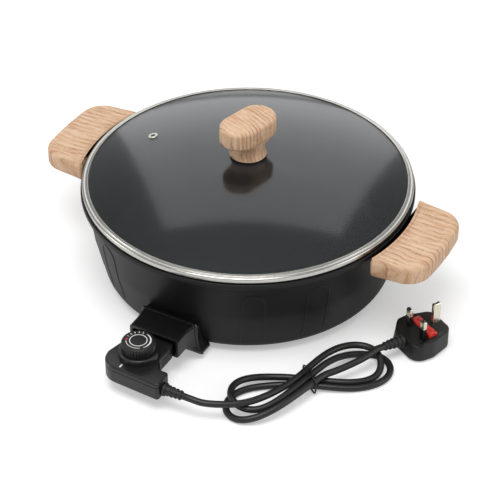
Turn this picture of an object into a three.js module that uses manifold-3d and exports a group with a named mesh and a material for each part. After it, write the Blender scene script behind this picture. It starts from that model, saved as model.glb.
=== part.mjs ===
// An electric hot pot: a wide black pan with a glass lid that lifts off, two wooden grips, a heat control
// that plugs into a socket on the pan, and its mains lead, tied in a figure of eight, with a three-pin plug.
//
// Lengths are in millimetres. +X points to the right grip, -Y to the socket and +Z up. Heights are measured
// from the floor that the feet stand on. At the end the whole group is lowered so that the origin lies in the
// middle of the base cover's flat underside.

import * as THREE from 'three';
import { mergeVertices } from 'three/addons/utils/BufferGeometryUtils.js';
import Module from 'manifold-3d';

const wasm = await Module();
wasm.setup();

// Clearances and fineness
const clearance = 0.3;
const cutOverrun = 1;
const rimSides = 48;
const knobSides = 28;
const boltSides = 10;
const cornerSteps = 4;

// Pan
const panFlangeRadius = 161.5;
const panFlangeHeight = 97.7;
const panFlangeThickness = 5.3;
const panLip = 5.5;
const panMouthRadius = panFlangeRadius - panLip;
const panWallLean = 6;
const panWaistRadius = panMouthRadius - panWallLean;
const panNeckHeight = 47.7;
const panWaistHeight = panFlangeHeight - panNeckHeight;
const panFootLean = 7;
const panFootRadius = panWaistRadius - panFootLean;
const panCornerRadius = 13;
const panSkirtHeight = 5;
const panWall = 2.8;
const panFloorHeight = 16;
const panFloorThickness = 3.5;
const panFilletRadius = 16;
const panSkirtWidth = 15;
const panRecessRadius = panFootRadius - panSkirtWidth;
const panEdgeBreak = 0.8;

// Base cover, its screws and the feet
const footProud = 2.5;
const coverThickness = 2.2;
const coverLap = 3;
const coverRadius = panRecessRadius + coverLap;
const coverGrooveRadius = 50;
const coverGrooveWidth = 2;
const coverGrooveDepth = 0.8;
const coverScrewCircle = 66;
const coverScrewCount = 3;
const coverScrewRadius = 1.75;
const coverScrewHeadRadius = 4;
const coverScrewHeadHeight = 1.4;
const coverBossRadius = 5;
const coverScrewLength = 8;
const footInset = 14;
const footCircle = panRecessRadius - footInset;
const footCount = 4;
const footRadius = 12;
const footStemRadius = 3;
const footStemLength = 5;

// Heating element, seated under the pan's floor
const elementInset = 30;
const elementCircle = panRecessRadius - elementInset;
const elementRadius = 3.5;
const elementBendAngle = 16;
const elementBend = 6;

// Socket on the pan
const socketRootDepth = 7;
const socketBack = panFootRadius - socketRootDepth;
const socketFootDepth = 14;
const socketFootFront = socketBack + socketFootDepth;
const socketFlareDepth = 8;
const socketFlangeFront = socketFootFront + socketFlareDepth;
const socketFlangeDepth = 8;
const socketShoulderFront = socketFlangeFront + socketFlangeDepth;
const socketMouthDepth = 14;
const socketFront = socketShoulderFront + socketMouthDepth;
const socketPlateThickness = 3;
const socketPlateFront = socketShoulderFront - socketPlateThickness;
const socketHalfWidth = 26;
const socketBottom = 19;
const socketTop = 40;
const socketWall = 3;
const socketCorner = 2.5;
const socketFlangeHalfWidth = 29;
const socketFootHalfWidth = 36;
const socketFootBottom = 6;
const socketWellHalfWidth = 24.5;
const socketFloorGapHalfWidth = 15;
const socketScrewOffset = 18.5;
const socketScrewRadius = 1.5;
const socketScrewHeadRadius = 3;
const socketScrewHeadHeight = 1.6;
const socketScrewLength = 12;
const socketBossRadius = 4.2;

// Terminals and probe, between the pan and the control
const terminalSpacing = 20;
const terminalHeight = 27.7;
const terminalPinRadius = 2;
const terminalPinProud = 7;
const terminalPinFront = socketFront + terminalPinProud;
const probeSleeveRadius = 4.5;
const probeRadius = 2.5;
const probeSleeveProud = 3.5;
const probeSleeveFront = socketPlateFront + probeSleeveProud;
const probeDepth = 14;
const probeTipFront = socketPlateFront - probeDepth;
const contactWall = 0.6;
const contactDepth = 10;
const contactFront = socketFront + contactDepth;

// Wooden grips, their brackets and screws
const gripGap = 3.5;
const gripInnerRadius = panFlangeRadius + gripGap;
const gripDepth = 45;
const gripReach = gripInnerRadius + gripDepth;
const gripInnerHalfWidth = 54;
const gripOuterHalfWidth = 50.5;
const gripBulge = 3.5;
const gripShoulder = gripReach - gripBulge;
const gripCorner = 24;
const gripBow = 300;
const gripTop = panFlangeHeight + clearance;
const gripThickness = 19;
const gripBottom = gripTop - gripThickness;
const gripTopRound = 5;
const gripBottomRound = 3;
const gripArcSteps = 10;
const bracketHalfWidth = 30;
const bracketDepth = 3;
const bracketTongueRoot = 13;
const bracketTongueLength = 23;
const bracketReach = gripInnerRadius + bracketTongueLength;
const bracketRootDepth = 10;
const bracketInnerRadius = panWaistRadius - bracketRootDepth;
const gripScrewInset = 13;
const gripScrewReach = gripInnerRadius + gripScrewInset;
const gripScrewOffset = 18;
const gripScrewRadius = 1.8;
const gripScrewHeadRadius = 3.6;
const gripScrewHeadHeight = 2;
const gripScrewLength = 13;

// Lid
const lidInset = 1.5;
const lidRadius = panFlangeRadius - lidInset;
const lidRimBottom = panFlangeHeight + clearance;
const lidRimHeight = 5.6;
const lidRimTop = lidRimBottom + lidRimHeight;
const lidRimSheet = 0.6;
const lidRimTopReach = 6;
const lidRimBottomReach = 7.5;
const glassInset = 1.6;
const glassRadius = lidRadius - glassInset;
const glassThickness = 3.6;
const glassDomeHeight = 27.4;
const glassCrown = lidRimTop + glassDomeHeight;
const glassRings = 8;
const ventInset = 55.8;
const ventReach = lidRadius - ventInset;
const ventAngle = 181.9;
const ventTubeRadius = 3.2;
const ventBoreRadius = 2.2;
const ventFlangeRadius = 5;
const ventFlangeThickness = 0.8;

// Knob and what holds it
const knobGap = 1;
const knobBase = glassCrown + knobGap;
const knobNeckRadius = 18;
const knobWaistRadius = 16.4;
const knobNeckHeight = 19;
const knobHeadBottom = knobBase + knobNeckHeight;
const knobHeadHeight = 20;
const knobTop = knobHeadBottom + knobHeadHeight;
const knobHeadHalfLength = 30.8;
const knobHeadHalfWidth = 18.6;
const knobHeadRound = 3.6;
const knobChinInset = 1;
const knobAngle = 75;
const knobWasherRadius = 19.5;
const knobWasherThickness = 0.7;
const knobScrewRadius = 2.4;
const knobScrewHeadRadius = 5;
const knobScrewHeadHeight = 3;
const knobScrewLength = 26;
const lowerWasherRadius = 9;
const lowerWasherThickness = 1.2;

// Heat control
const controlTongueLength = 12;
const controlTongueFront = socketFront - controlTongueLength;
const controlTongueHalfWidth = 20;
const controlTongueBottom = 22.4;
const controlBlockGap = 1.5;
const controlBlockFront = socketFront + controlBlockGap;
const controlBlockHalfWidth = 20.5;
const controlBlockBottom = 19;
const controlNeckLength = 22.5;
const controlNeckFront = controlBlockFront + controlNeckLength;
const controlShoulderDepth = 10.5;
const controlArmBack = controlNeckFront + controlShoulderDepth;
const controlArmDepth = 20.5;
const controlArmFront = controlArmBack + controlArmDepth;
const controlArmLeft = 28;
const controlArmRight = 37;
const controlArmNeck = 28.5;
const controlArmCorner = 17;
const controlArmBottom = 14;
const controlTop = 33;
const controlWall = 2;
const controlEdge = 2;
const controlCorner = 3;
const dialInset = 29;
const dialFront = controlArmFront - dialInset;
const plinthRadius = 18.5;
const plinthTop = 39.5;
const plinthEdge = 1.6;
const dialRadius = 16;
const dialTop = 50;
const dialRibCount = 24;
const dialRibDepth = 0.7;
const dialEdge = 1.2;
const dialCap = 3.5;
const spindleRadius = 2.5;
const thermostatHalfWidth = 15;
const thermostatGap = 6.5;
const thermostatBack = dialFront + thermostatGap;
const controlScrewRadius = 1.2;
const controlScrewHeadRadius = 2.8;
const controlScrewHeadHeight = 1.6;
const controlScrewSink = 1.2;
const controlScrewInset = 11;
const controlScrewFront = controlArmFront - controlScrewInset;
const controlScrewLeft = -13;
const controlScrewRight = 28;
const controlPostRadius = 4.6;
const indexMarkSide = -6;
const indexMarkInset = 7.5;
const indexMarkFront = controlArmFront - indexMarkInset;
const indexMarkWidth = 1.6;
const indexMarkLength = 4.6;
const indexMarkDepth = 1.2;
const indexMarkProud = 0.2;

// Strain relief at the control
const reliefInset = 10.5;
const reliefFront = controlArmFront - reliefInset;
const reliefHeight = 21;
const reliefTip = 57;
const reliefRootRadius = 6.4;
const reliefTipRadius = 4.6;
const reliefNeckRadius = 3.4;
const reliefAnchorRadius = 4.4;
const reliefAnchorThickness = 1.8;
const reliefCollarThickness = 3;
const reliefRibCount = 5;
const reliefRibDepth = 0.9;

// Mains plug, lying with its pins up: u runs along the line and neutral pins, v away from the cord
const plugX = 201.3;
const plugBehindArm = 195.8;
const plugY = plugBehindArm - controlArmFront;
const plugYaw = -29.9;
const plugFace = 22;
const plugFloorGap = 0.2;
const plugHalfWidth = 23.4;
const plugCordHalfWidth = 19;
const plugEarthHalfWidth = 15.8;
const plugCordEnd = 16;
const plugEarthEnd = 29.4;
const plugShoulder = 5;
const plugCorner = 9;
const plugFaceEdge = 1.2;
const plugBackEdge = 4;
const pinOffset = 11.1;
const pinLength = 17.7;
const pinWidth = 6.35;
const pinThickness = 3.95;
const earthPinOffset = 22.2;
const earthPinLength = 22.7;
const earthPinWidth = 3.95;
const earthPinHeight = 7.9;
const pinRoot = 9;
const pinTaper = 1.2;
const fuseLength = 25.4;
const fuseRadius = 3.15;
const fuseOffset = 9.6;
const carrierHalfLength = 15.4;
const carrierHalfWidth = 4.6;
const carrierWaist = 3.6;
const carrierTop = 2;
const carrierLeg = 1.6;
const carrierProud = 0.6;
const carrierDepth = 8.6;
const plugReliefTip = 37;
const plugReliefRise = 1.3;
const plugReliefHeight = 15.6;
const plugReliefRootRadius = 6;
const plugReliefTipRadius = 4.3;
const plugReliefRibCount = 6;

// Cord, its hank and the tie
const cordDiameter = 6.5;
const cordSides = 10;
const cordStepDiameters = 2.5;
const hankX = 140;
const hankBehindArm = 98;
const hankY = hankBehindArm - controlArmFront;
const hankYaw = 51.5;
const hankHalfLength = 69.3;
const hankGrowth = 7.2;
const hankHalfWidth = 20.7;
const hankPitch = 7.1;
const hankPileHeight = 7.3;
const hankFloorGap = 0.05;
const hankWaistShare = 1.29;
const hankLeanShare = 0.073;
const hankRoundShare = 0.136;
const hankPointShare = 0.061;
const hankStart = 0.465;
const hankEnd = 4.46;
const hankSteps = 92;
const hankSides = 6;
const hankStraightDiameters = 1.6;
const hankHeadTurn = -4;
const tieRadius = 0.8;
const tieHalfWidth = 14.1;
const tieBottom = 1.2;
const tieTop = 17.5;
const tieCorner = 5;
const tieTail = 4;
const tieTailSpacing = 2.6;
const tieSides = 8;

// Where the cord lies between the control and the hank, and between the hank and the plug. The second value
// of each point is measured back from the arm's front face.
const leadPoints = [
  [75, 12.6, 19.2],
  [85.5, 17.2, 18.3],
  [96, 23.8, 17.4],
  [106, 32, 16.7],
  [113.2, 41.2, 16],
  [118.9, 52, 15.1],
  [123.2, 62.5, 14.3],
  [126.9, 74.2, 13.4],
];
const tailPoints = [
  [152.3, 107.4, 13.1],
  [157.2, 114.4, 13.4],
  [162.4, 122.2, 14],
  [167.6, 130.4, 14.9],
  [172.4, 138.8, 15.8],
  [176.4, 147.6, 16.7],
];

// How high the cord lies along the hank: half turns, and the share of one cord on top of another
const hankLevelShares = [
  [0.3, 1.33],
  [0.6, 1.33],
  [0.88, 0.975],
  [0.95, 0.975],
  [1.17, 0],
  [1.5, 0.33],
  [1.62, 0.33],
  [1.93, 1.1],
  [1.98, 1.1],
  [2.2, 0.75],
  [2.42, 1.33],
  [2.57, 1.33],
  [2.85, 0],
  [3.3, 0],
  [3.5, 0.33],
  [3.7, 0],
  [4.05, 0],
  [4.42, 1.33],
  [4.8, 1.33],
];

// Heights and radii that follow from the sizes above
const coverBottom = footProud;
const coverTop = coverBottom + coverThickness;
const recessHeight = panFloorHeight - panFloorThickness;
const flangeUnderside = panFlangeHeight - panFlangeThickness;
const panCornerHeight = panSkirtHeight + panCornerRadius;
const elementHeight = recessHeight - clearance - elementRadius;
const elementRiseFront = socketPlateFront - socketPlateThickness - elementBend;
const splitHeight = terminalHeight;
const cordRadius = cordDiameter / 2;
const terminalSide = terminalSpacing / 2;
const radians = THREE.MathUtils.degToRad;

// Materials

function surface(color, roughness, metalness) {
  return new THREE.MeshStandardMaterial({ color, roughness, metalness });
}

const blackCoating = surface(0x1b1c1e, 0.5, 0.1);
const wood = surface(0xd2a077, 0.55, 0);
const steel = surface(0xc9c7c2, 0.25, 1);
const aluminium = surface(0xa9abad, 0.45, 1);
const brass = surface(0xc9a552, 0.3, 1);
const pinMetal = surface(0xc8b48c, 0.25, 1);
const glass = new THREE.MeshStandardMaterial({
  color: 0x3a3d40,
  roughness: 0.05,
  metalness: 0,
  transparent: true,
  opacity: 0.35,
});
const glossBlack = surface(0x121212, 0.2, 0);
const mattBlack = surface(0x1a1a1a, 0.6, 0);
const rubber = surface(0x161616, 0.8, 0);
const redPlastic = surface(0xc5282b, 0.35, 0);
const whiteInlay = surface(0xe6e6e2, 0.5, 0);
const ceramic = surface(0xe2ddd0, 0.6, 0);

// Solids and booleans

// A closed mesh as a solid that can be joined and cut.
function solid(geometry) {
  const bare = geometry.clone();
  bare.deleteAttribute('normal');
  bare.deleteAttribute('uv');
  const merged = mergeVertices(bare, 1e-4);
  const corners = Array.from(merged.index.array);
  const faces = [];
  for (let i = 0; i < corners.length; i += 3) {
    const [a, b, c] = corners.slice(i, i + 3);
    if (a !== b && b !== c && c !== a) faces.push(a, b, c);
  }
  const vertProperties = Float32Array.from(merged.attributes.position.array);
  const mesh = new wasm.Mesh({ numProp: 3, vertProperties, triVerts: Uint32Array.from(faces) });
  return new wasm.Manifold(mesh);
}

function geometryOf(body) {
  const mesh = body.getMesh();
  const geometry = new THREE.BufferGeometry();
  const positions = [];
  for (let i = 0; i < mesh.numVert; i += 1) {
    const first = i * mesh.numProp;
    positions.push(...mesh.vertProperties.slice(first, first + 3));
  }
  geometry.setAttribute('position', new THREE.Float32BufferAttribute(positions, 3));
  geometry.setIndex(Array.from(mesh.triVerts));
  return geometry;
}

// The first geometry with the others joined on or cut away.
function joined(base, ...more) {
  let body = solid(base);
  for (const piece of more) body = body.add(solid(piece));
  return geometryOf(body);
}

function cut(base, ...tools) {
  let body = solid(base);
  for (const tool of tools) body = body.subtract(solid(tool));
  return geometryOf(body);
}

// Outlines

function arc(x, y, radius, from, to, steps) {
  const points = [];
  for (let i = 0; i <= steps; i += 1) {
    const angle = radians(from + ((to - from) * i) / steps);
    points.push(new THREE.Vector2(x + radius * Math.cos(angle), y + radius * Math.sin(angle)));
  }
  return points;
}

function circle(radius, sides) {
  return arc(0, 0, radius, 0, 360, sides).slice(0, -1);
}

// A long round outline: two half circles and the straight sides between them, along x.
function stadium(halfLength, halfWidth, sides) {
  const shift = halfLength - halfWidth;
  const points = [];
  for (let i = 0; i < sides; i += 1) {
    const angle = (2 * Math.PI * (i + 1 / 2)) / sides;
    const side = Math.sign(Math.cos(angle));
    points.push(new THREE.Vector2(halfWidth * Math.cos(angle) + side * shift, halfWidth * Math.sin(angle)));
  }
  return points;
}

// The corners of a polygon rounded, each by its own radius; a corner of radius 0 stays sharp.
function rounded(corners, radii, steps = cornerSteps) {
  const outline = [];
  corners.forEach((corner, i) => {
    const here = new THREE.Vector2(...corner);
    const radius = radii[i];
    if (radius === 0) {
      outline.push(here);
      return;
    }
    const last = new THREE.Vector2(...corners[(i + corners.length - 1) % corners.length]);
    const next = new THREE.Vector2(...corners[(i + 1) % corners.length]);
    const back = last.sub(here).normalize();
    const on = next.sub(here).normalize();
    const half = Math.acos(THREE.MathUtils.clamp(back.dot(on), -1, 1)) / 2;
    const reach = radius / Math.tan(half);
    const start = here.clone().addScaledVector(back, reach);
    const end = here.clone().addScaledVector(on, reach);
    const middle = back.clone().add(on).normalize().multiplyScalar(radius / Math.sin(half)).add(here);
    const from = start.clone().sub(middle).angle();
    let sweep = end.clone().sub(middle).angle() - from;
    if (sweep > Math.PI) sweep -= 2 * Math.PI;
    if (sweep < -Math.PI) sweep += 2 * Math.PI;
    for (let k = 0; k <= steps; k += 1) {
      const angle = from + (sweep * k) / steps;
      const spot = new THREE.Vector2(Math.cos(angle), Math.sin(angle)).multiplyScalar(radius).add(middle);
      outline.push(spot);
    }
  });
  return outline;
}

function roundedBox(halfWidth, bottom, top, radius) {
  const corners = [
    [-halfWidth, bottom],
    [halfWidth, bottom],
    [halfWidth, top],
    [-halfWidth, top],
  ];
  return rounded(corners, [radius, radius, radius, radius]);
}

// The same outline moved in by a distance, point by point.
function inset(outline, distance) {
  return outline.map((point, i) => {
    const last = outline[(i + outline.length - 1) % outline.length];
    const next = outline[(i + 1) % outline.length];
    const into = point.clone().sub(last).normalize();
    const on = next.clone().sub(point).normalize();
    const inward = new THREE.Vector2(-into.y - on.y, into.x + on.x).normalize();
    const reach = distance / Math.max(inward.dot(new THREE.Vector2(-into.y, into.x)), 1 / 2);
    return point.clone().addScaledVector(inward, reach);
  });
}

// Shapes

function fromTriangles(points, faces) {
  const geometry = new THREE.BufferGeometry();
  const positions = points.flatMap((point) => [point.x, point.y, point.z]);
  geometry.setAttribute('position', new THREE.Float32BufferAttribute(positions, 3));
  geometry.setIndex(faces);
  return geometry;
}

// The corner numbers of an outline's triangles, all turning the way that the outline turns.
function capFaces(outline) {
  return THREE.ShapeUtils.triangulateShape(outline, []).flatMap(([a, b, c]) => {
    const turn = THREE.ShapeUtils.area([outline[a], outline[b], outline[c]]);
    return turn > 0 ? [a, b, c] : [a, c, b];
  });
}

// A solid skinned over outlines with the same number of points, each at its own height.
function loft(levels, place = (point, at) => new THREE.Vector3(point.x, point.y, at)) {
  const count = levels[0].outline.length;
  const points = levels.flatMap(({ outline, at }) => outline.map((point) => place(point, at)));
  const faces = [];
  for (let level = 0; level < levels.length - 1; level += 1) {
    for (let i = 0; i < count; i += 1) {
      const a = level * count + i;
      const b = level * count + ((i + 1) % count);
      faces.push(a, b, b + count, a, b + count, a + count);
    }
  }
  const first = capFaces(levels[0].outline);
  for (let i = 0; i < first.length; i += 3) faces.push(first[i], first[i + 2], first[i + 1]);
  const shift = (levels.length - 1) * count;
  capFaces(levels[levels.length - 1].outline).forEach((corner) => faces.push(corner + shift));
  return fromTriangles(points, faces);
}

// The same, standing on its side: outlines in x and height, placed further and further towards -Y.
function frontLoft(levels) {
  return loft(levels, (point, at) => new THREE.Vector3(point.x, -at, point.y));
}

// A profile of radius and height turned about the upright axis. It runs round its section anticlockwise.
function turned(profile, sides) {
  const points = profile.map(([radius, height]) => new THREE.Vector2(radius, height));
  return new THREE.LatheGeometry(points, sides).rotateX(Math.PI / 2);
}

function cylinder(radius, bottom, top, sides = boltSides) {
  const profile = [
    [0, bottom],
    [radius, bottom],
    [radius, top],
    [0, top],
  ];
  return turned(profile, sides);
}

// A cylinder that runs towards -Y, from one distance in front of the pan's axis to another.
function frontCylinder(radius, x, height, from, to, sides = boltSides) {
  return cylinder(radius, from, to, sides).rotateX(Math.PI / 2).translate(x, 0, height);
}

function box(minX, maxX, minY, maxY, minZ, maxZ) {
  const geometry = new THREE.BoxGeometry(maxX - minX, maxY - minY, maxZ - minZ);
  return geometry.translate((minX + maxX) / 2, (minY + maxY) / 2, (minZ + maxZ) / 2);
}

// A screw standing head down, its head's seat at height 0.
function screw(radius, length, headRadius, headHeight) {
  const profile = [
    [0, -headHeight],
    [headRadius - headHeight / 3, -headHeight],
    [headRadius, -headHeight / 2],
    [headRadius, 0],
    [radius, 0],
    [radius, length],
    [0, length],
  ];
  return turned(profile, boltSides);
}

// A washer: a flat ring between two radii.
function ring(inner, outer, bottom, top, sides) {
  const profile = [
    [inner, bottom],
    [outer, bottom],
    [outer, top],
    [inner, top],
    [inner, bottom],
  ];
  return turned(profile, sides);
}

// A tube along points, its ends closed and square, built of rings that turn as little as they can.
function tubeThrough(points, radius, sides) {
  const count = points.length;
  const tangents = points.map((point, i) => {
    const before = points[Math.max(i - 1, 0)];
    const after = points[Math.min(i + 1, count - 1)];
    return after.clone().sub(before).normalize();
  });
  const upright = Math.abs(tangents[0].z) > 1 / 2;
  const guide = upright ? new THREE.Vector3(1, 0, 0) : new THREE.Vector3(0, 0, 1);
  let across = guide.cross(tangents[0]).normalize();
  const rim = [];
  points.forEach((point, i) => {
    across = across.clone().addScaledVector(tangents[i], -across.dot(tangents[i])).normalize();
    const up = tangents[i].clone().cross(across);
    circle(radius, sides).forEach((spot) => {
      rim.push(point.clone().addScaledVector(across, spot.x).addScaledVector(up, spot.y));
    });
  });
  const faces = [];
  for (let i = 0; i < count - 1; i += 1) {
    for (let k = 0; k < sides; k += 1) {
      const a = i * sides + k;
      const b = i * sides + ((k + 1) % sides);
      faces.push(a, b, b + sides, a, b + sides, a + sides);
    }
  }
  const last = (count - 1) * sides;
  for (let k = 1; k < sides - 1; k += 1) {
    faces.push(0, k + 1, k);
    faces.push(last, last + k, last + k + 1);
  }
  return fromTriangles(rim, faces);
}

// A tube of round section along a smooth curve.
function tubeAlong(curve, radius, sides, steps) {
  const section = new THREE.Shape(circle(radius, sides));
  return new THREE.ExtrudeGeometry(section, { extrudePath: curve, steps, bevelEnabled: false });
}

// Pan

// The wall's outside radius at a height, from the bottom corner to the flange.
function panOutside(height) {
  if (height < panWaistHeight) {
    return THREE.MathUtils.mapLinear(height, panCornerHeight, panWaistHeight, panFootRadius, panWaistRadius);
  }
  return THREE.MathUtils.mapLinear(height, panWaistHeight, flangeUnderside, panWaistRadius, panMouthRadius);
}

// The pan's outer face, from the skirt's lowest point to the flange, grown by a distance.
function panOuterProfile(growth) {
  const corner = arc(
    panFootRadius - panCornerRadius,
    panCornerHeight,
    panCornerRadius + growth,
    -90,
    0,
    cornerSteps + 1,
  );
  return [
    ...corner.map((point) => [point.x, point.y]),
    [panWaistRadius + growth, panWaistHeight],
    [panMouthRadius + growth, flangeUnderside - growth],
    [panFlangeRadius + growth, flangeUnderside - growth],
  ];
}

// Everything inside the pan's outer face and a clearance around it, for cutting what is fitted to the pan.
function panKeepOut() {
  const profile = [
    [0, panSkirtHeight - clearance],
    ...panOuterProfile(clearance),
    [panFlangeRadius + clearance, panFlangeHeight + cutOverrun],
    [0, panFlangeHeight + cutOverrun],
  ];
  return turned(profile, rimSides);
}

function coverScrewPlaces() {
  return Array.from({ length: coverScrewCount }, (_, i) => {
    const angle = Math.PI / 2 + (2 * Math.PI * i) / coverScrewCount;
    return new THREE.Vector2(Math.cos(angle), Math.sin(angle)).multiplyScalar(coverScrewCircle);
  });
}

function panBody() {
  const filletTop = panFloorHeight + panFilletRadius;
  const insideFoot = panOutside(filletTop) - panWall;
  const fillet = arc(insideFoot - panFilletRadius, filletTop, panFilletRadius, 0, -90, cornerSteps + 1);
  const mouth = panMouthRadius - panWall;
  const profile = [
    [0, recessHeight],
    [panRecessRadius, recessHeight],
    [panRecessRadius, panSkirtHeight],
    ...panOuterProfile(0),
    [panFlangeRadius, panFlangeHeight - panEdgeBreak],
    [panFlangeRadius - panEdgeBreak, panFlangeHeight],
    [mouth + panEdgeBreak, panFlangeHeight],
    [mouth, panFlangeHeight - panEdgeBreak],
    [mouth, flangeUnderside],
    [panWaistRadius - panWall, panWaistHeight],
    ...fillet.map((point) => [point.x, point.y]),
    [0, panFloorHeight],
  ];
  const holeRadius = coverScrewRadius + clearance;
  const bossTop = recessHeight + panFloorThickness / 2;
  const holeTop = coverBottom - clearance + coverScrewLength + clearance;
  const bosses = [];
  const holes = [];
  for (const { x, y } of coverScrewPlaces()) {
    bosses.push(cylinder(coverBossRadius, coverTop + clearance, bossTop).translate(x, y, 0));
    holes.push(cylinder(holeRadius, coverTop - cutOverrun, holeTop).translate(x, y, 0));
  }
  const bossFront = socketPlateFront - socketPlateThickness - clearance;
  const wallFront = panOutside(terminalHeight) - panWall / 2;
  const bossBack = Math.sqrt(wallFront ** 2 - socketScrewOffset ** 2) - panWall / 4;
  const socketHoleBack = socketPlateFront - socketScrewLength - clearance;
  for (const x of [-socketScrewOffset, socketScrewOffset]) {
    const hole = socketScrewRadius + clearance;
    bosses.push(frontCylinder(socketBossRadius, x, terminalHeight, bossBack, bossFront));
    holes.push(frontCylinder(hole, x, terminalHeight, socketHoleBack, bossFront + cutOverrun));
  }
  const notch = box(
    -socketFloorGapHalfWidth,
    socketFloorGapHalfWidth,
    -panFootRadius - panCornerRadius,
    -panRecessRadius + panCornerRadius,
    panSkirtHeight - cutOverrun,
    recessHeight,
  );
  return cut(joined(turned(profile, rimSides), ...bosses), notch, ...holes);
}

// Base cover and feet

function footPlaces() {
  return Array.from({ length: footCount }, (_, i) => {
    const angle = Math.PI / 4 + (2 * Math.PI * i) / footCount;
    return new THREE.Vector2(Math.cos(angle), Math.sin(angle)).multiplyScalar(footCircle);
  });
}

function baseCover() {
  const holes = [];
  for (const { x, y } of coverScrewPlaces()) {
    const hole = cylinder(coverScrewRadius + clearance, coverBottom - cutOverrun, coverTop + cutOverrun);
    holes.push(hole.translate(x, y, 0));
  }
  for (const { x, y } of footPlaces()) {
    const hole = cylinder(footStemRadius + clearance, coverBottom - cutOverrun, coverTop + cutOverrun);
    holes.push(hole.translate(x, y, 0));
  }
  const groove = ring(
    coverGrooveRadius,
    coverGrooveRadius + coverGrooveWidth,
    coverBottom - cutOverrun,
    coverBottom + coverGrooveDepth,
    rimSides,
  );
  return cut(cylinder(coverRadius, coverBottom, coverTop, rimSides), groove, ...holes);
}

function foot() {
  const padTop = footProud - clearance;
  const profile = [
    [0, 0],
    [footRadius - padTop / 2, 0],
    [footRadius, padTop / 2],
    [footRadius, padTop],
    [footStemRadius, padTop],
    [footStemRadius, padTop + footStemLength],
    [0, padTop + footStemLength],
  ];
  return turned(profile, boltSides);
}

// Heating element and terminals

function heatingElement() {
  const side = terminalSide;
  const bendShare = 1 - Math.SQRT1_2;
  const leg = [
    [side, -socketPlateFront, terminalHeight],
    [side, -elementRiseFront - elementBend, terminalHeight],
    [side, -elementRiseFront - elementBend * bendShare, terminalHeight - elementBend * bendShare],
    [side, -elementRiseFront, terminalHeight - elementBend],
    [side, -elementRiseFront, elementHeight + elementBend],
    [side, -elementRiseFront + elementBend * bendShare, elementHeight + elementBend * bendShare],
    [side, -elementRiseFront + elementBend, elementHeight],
    [side, -panRecessRadius, elementHeight],
    [side, -elementCircle - elementBend, elementHeight],
  ];
  const loop = [];
  const loopSteps = 28;
  for (let i = 0; i <= loopSteps; i += 1) {
    const angle = radians(-90 + elementBendAngle + ((360 - 2 * elementBendAngle) * i) / loopSteps);
    loop.push([elementCircle * Math.cos(angle), elementCircle * Math.sin(angle), elementHeight]);
  }
  const otherLeg = leg.map(([x, y, z]) => [-x, y, z]).reverse();
  const points = [...leg, ...loop, ...otherLeg].map((point) => new THREE.Vector3(...point));
  const curve = new THREE.CatmullRomCurve3(points);
  const elementSteps = 66;
  return tubeThrough(curve.getPoints(elementSteps), elementRadius, cordSides - 2);
}

function terminalPin(side) {
  const from = socketPlateFront + clearance;
  return frontCylinder(terminalPinRadius, side * terminalSide, terminalHeight, from, terminalPinFront);
}

function probeSleeve() {
  const back = Math.sqrt(panOutside(terminalHeight + probeSleeveRadius) ** 2) + clearance;
  const inner = probeRadius + clearance;
  const tube = ring(inner, probeSleeveRadius, back, probeSleeveFront, boltSides);
  return tube.rotateX(Math.PI / 2).translate(0, 0, terminalHeight);
}

// Socket

function socketHousing() {
  const outside = (front, halfWidth, bottom) => ({
    at: front,
    outline: roundedBox(halfWidth, bottom, socketTop, socketCorner),
  });
  const shell = frontLoft([
    outside(socketBack, socketFootHalfWidth, socketFootBottom),
    outside(socketFootFront, socketFootHalfWidth, socketFootBottom),
    outside(socketFlangeFront, socketFlangeHalfWidth, (socketFootBottom + socketBottom) / 2),
    outside(socketShoulderFront, socketHalfWidth, socketBottom),
    outside(socketFront, socketHalfWidth, socketBottom),
  ]);
  const inside = (halfWidth, bottom) => roundedBox(halfWidth, bottom, socketTop - socketWall, socketCorner);
  const mouthHalfWidth = socketHalfWidth - socketWall;
  const mouth = frontLoft([
    { at: socketPlateFront, outline: inside(mouthHalfWidth, socketBottom + socketWall) },
    { at: socketFront + cutOverrun, outline: inside(mouthHalfWidth, socketBottom + socketWall) },
  ]);
  const wellFront = socketPlateFront - socketPlateThickness;
  const wellBottom = socketBottom - socketWall;
  const well = frontLoft([
    { at: socketBack - cutOverrun, outline: inside(socketWellHalfWidth, wellBottom) },
    { at: wellFront, outline: inside(socketWellHalfWidth, wellBottom) },
  ]);
  const floorGap = box(
    -socketFloorGapHalfWidth,
    socketFloorGapHalfWidth,
    -wellFront,
    -socketBack + cutOverrun,
    socketFootBottom - cutOverrun,
    wellBottom + socketCorner,
  );
  const through = (radius, x) =>
    frontCylinder(radius, x, terminalHeight, wellFront - cutOverrun, socketPlateFront + cutOverrun);
  return cut(
    shell,
    mouth,
    well,
    floorGap,
    through(elementRadius + clearance, -terminalSide),
    through(elementRadius + clearance, terminalSide),
    through(probeSleeveRadius + clearance, 0),
    through(socketScrewRadius + clearance, -socketScrewOffset),
    through(socketScrewRadius + clearance, socketScrewOffset),
    panKeepOut(),
  );
}

function socketScrew(side) {
  const piece = screw(socketScrewRadius, socketScrewLength, socketScrewHeadRadius, socketScrewHeadHeight);
  const seat = socketPlateFront + clearance;
  return piece.rotateX(-Math.PI / 2).translate(side * socketScrewOffset, -seat, terminalHeight);
}

// Grips

function gripOutline() {
  const innerAngle = THREE.MathUtils.radToDeg(Math.asin(gripInnerHalfWidth / gripInnerRadius));
  const inner = arc(0, 0, gripInnerRadius, innerAngle, -innerAngle, gripArcSteps);
  const corners = [
    inner[inner.length - 1].toArray(),
    [gripShoulder, -gripOuterHalfWidth],
    [gripReach, 0],
    [gripShoulder, gripOuterHalfWidth],
    inner[0].toArray(),
  ];
  return [...rounded(corners, [0, gripCorner, gripBow, gripCorner, 0]), ...inner.slice(1, -1)];
}

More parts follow.
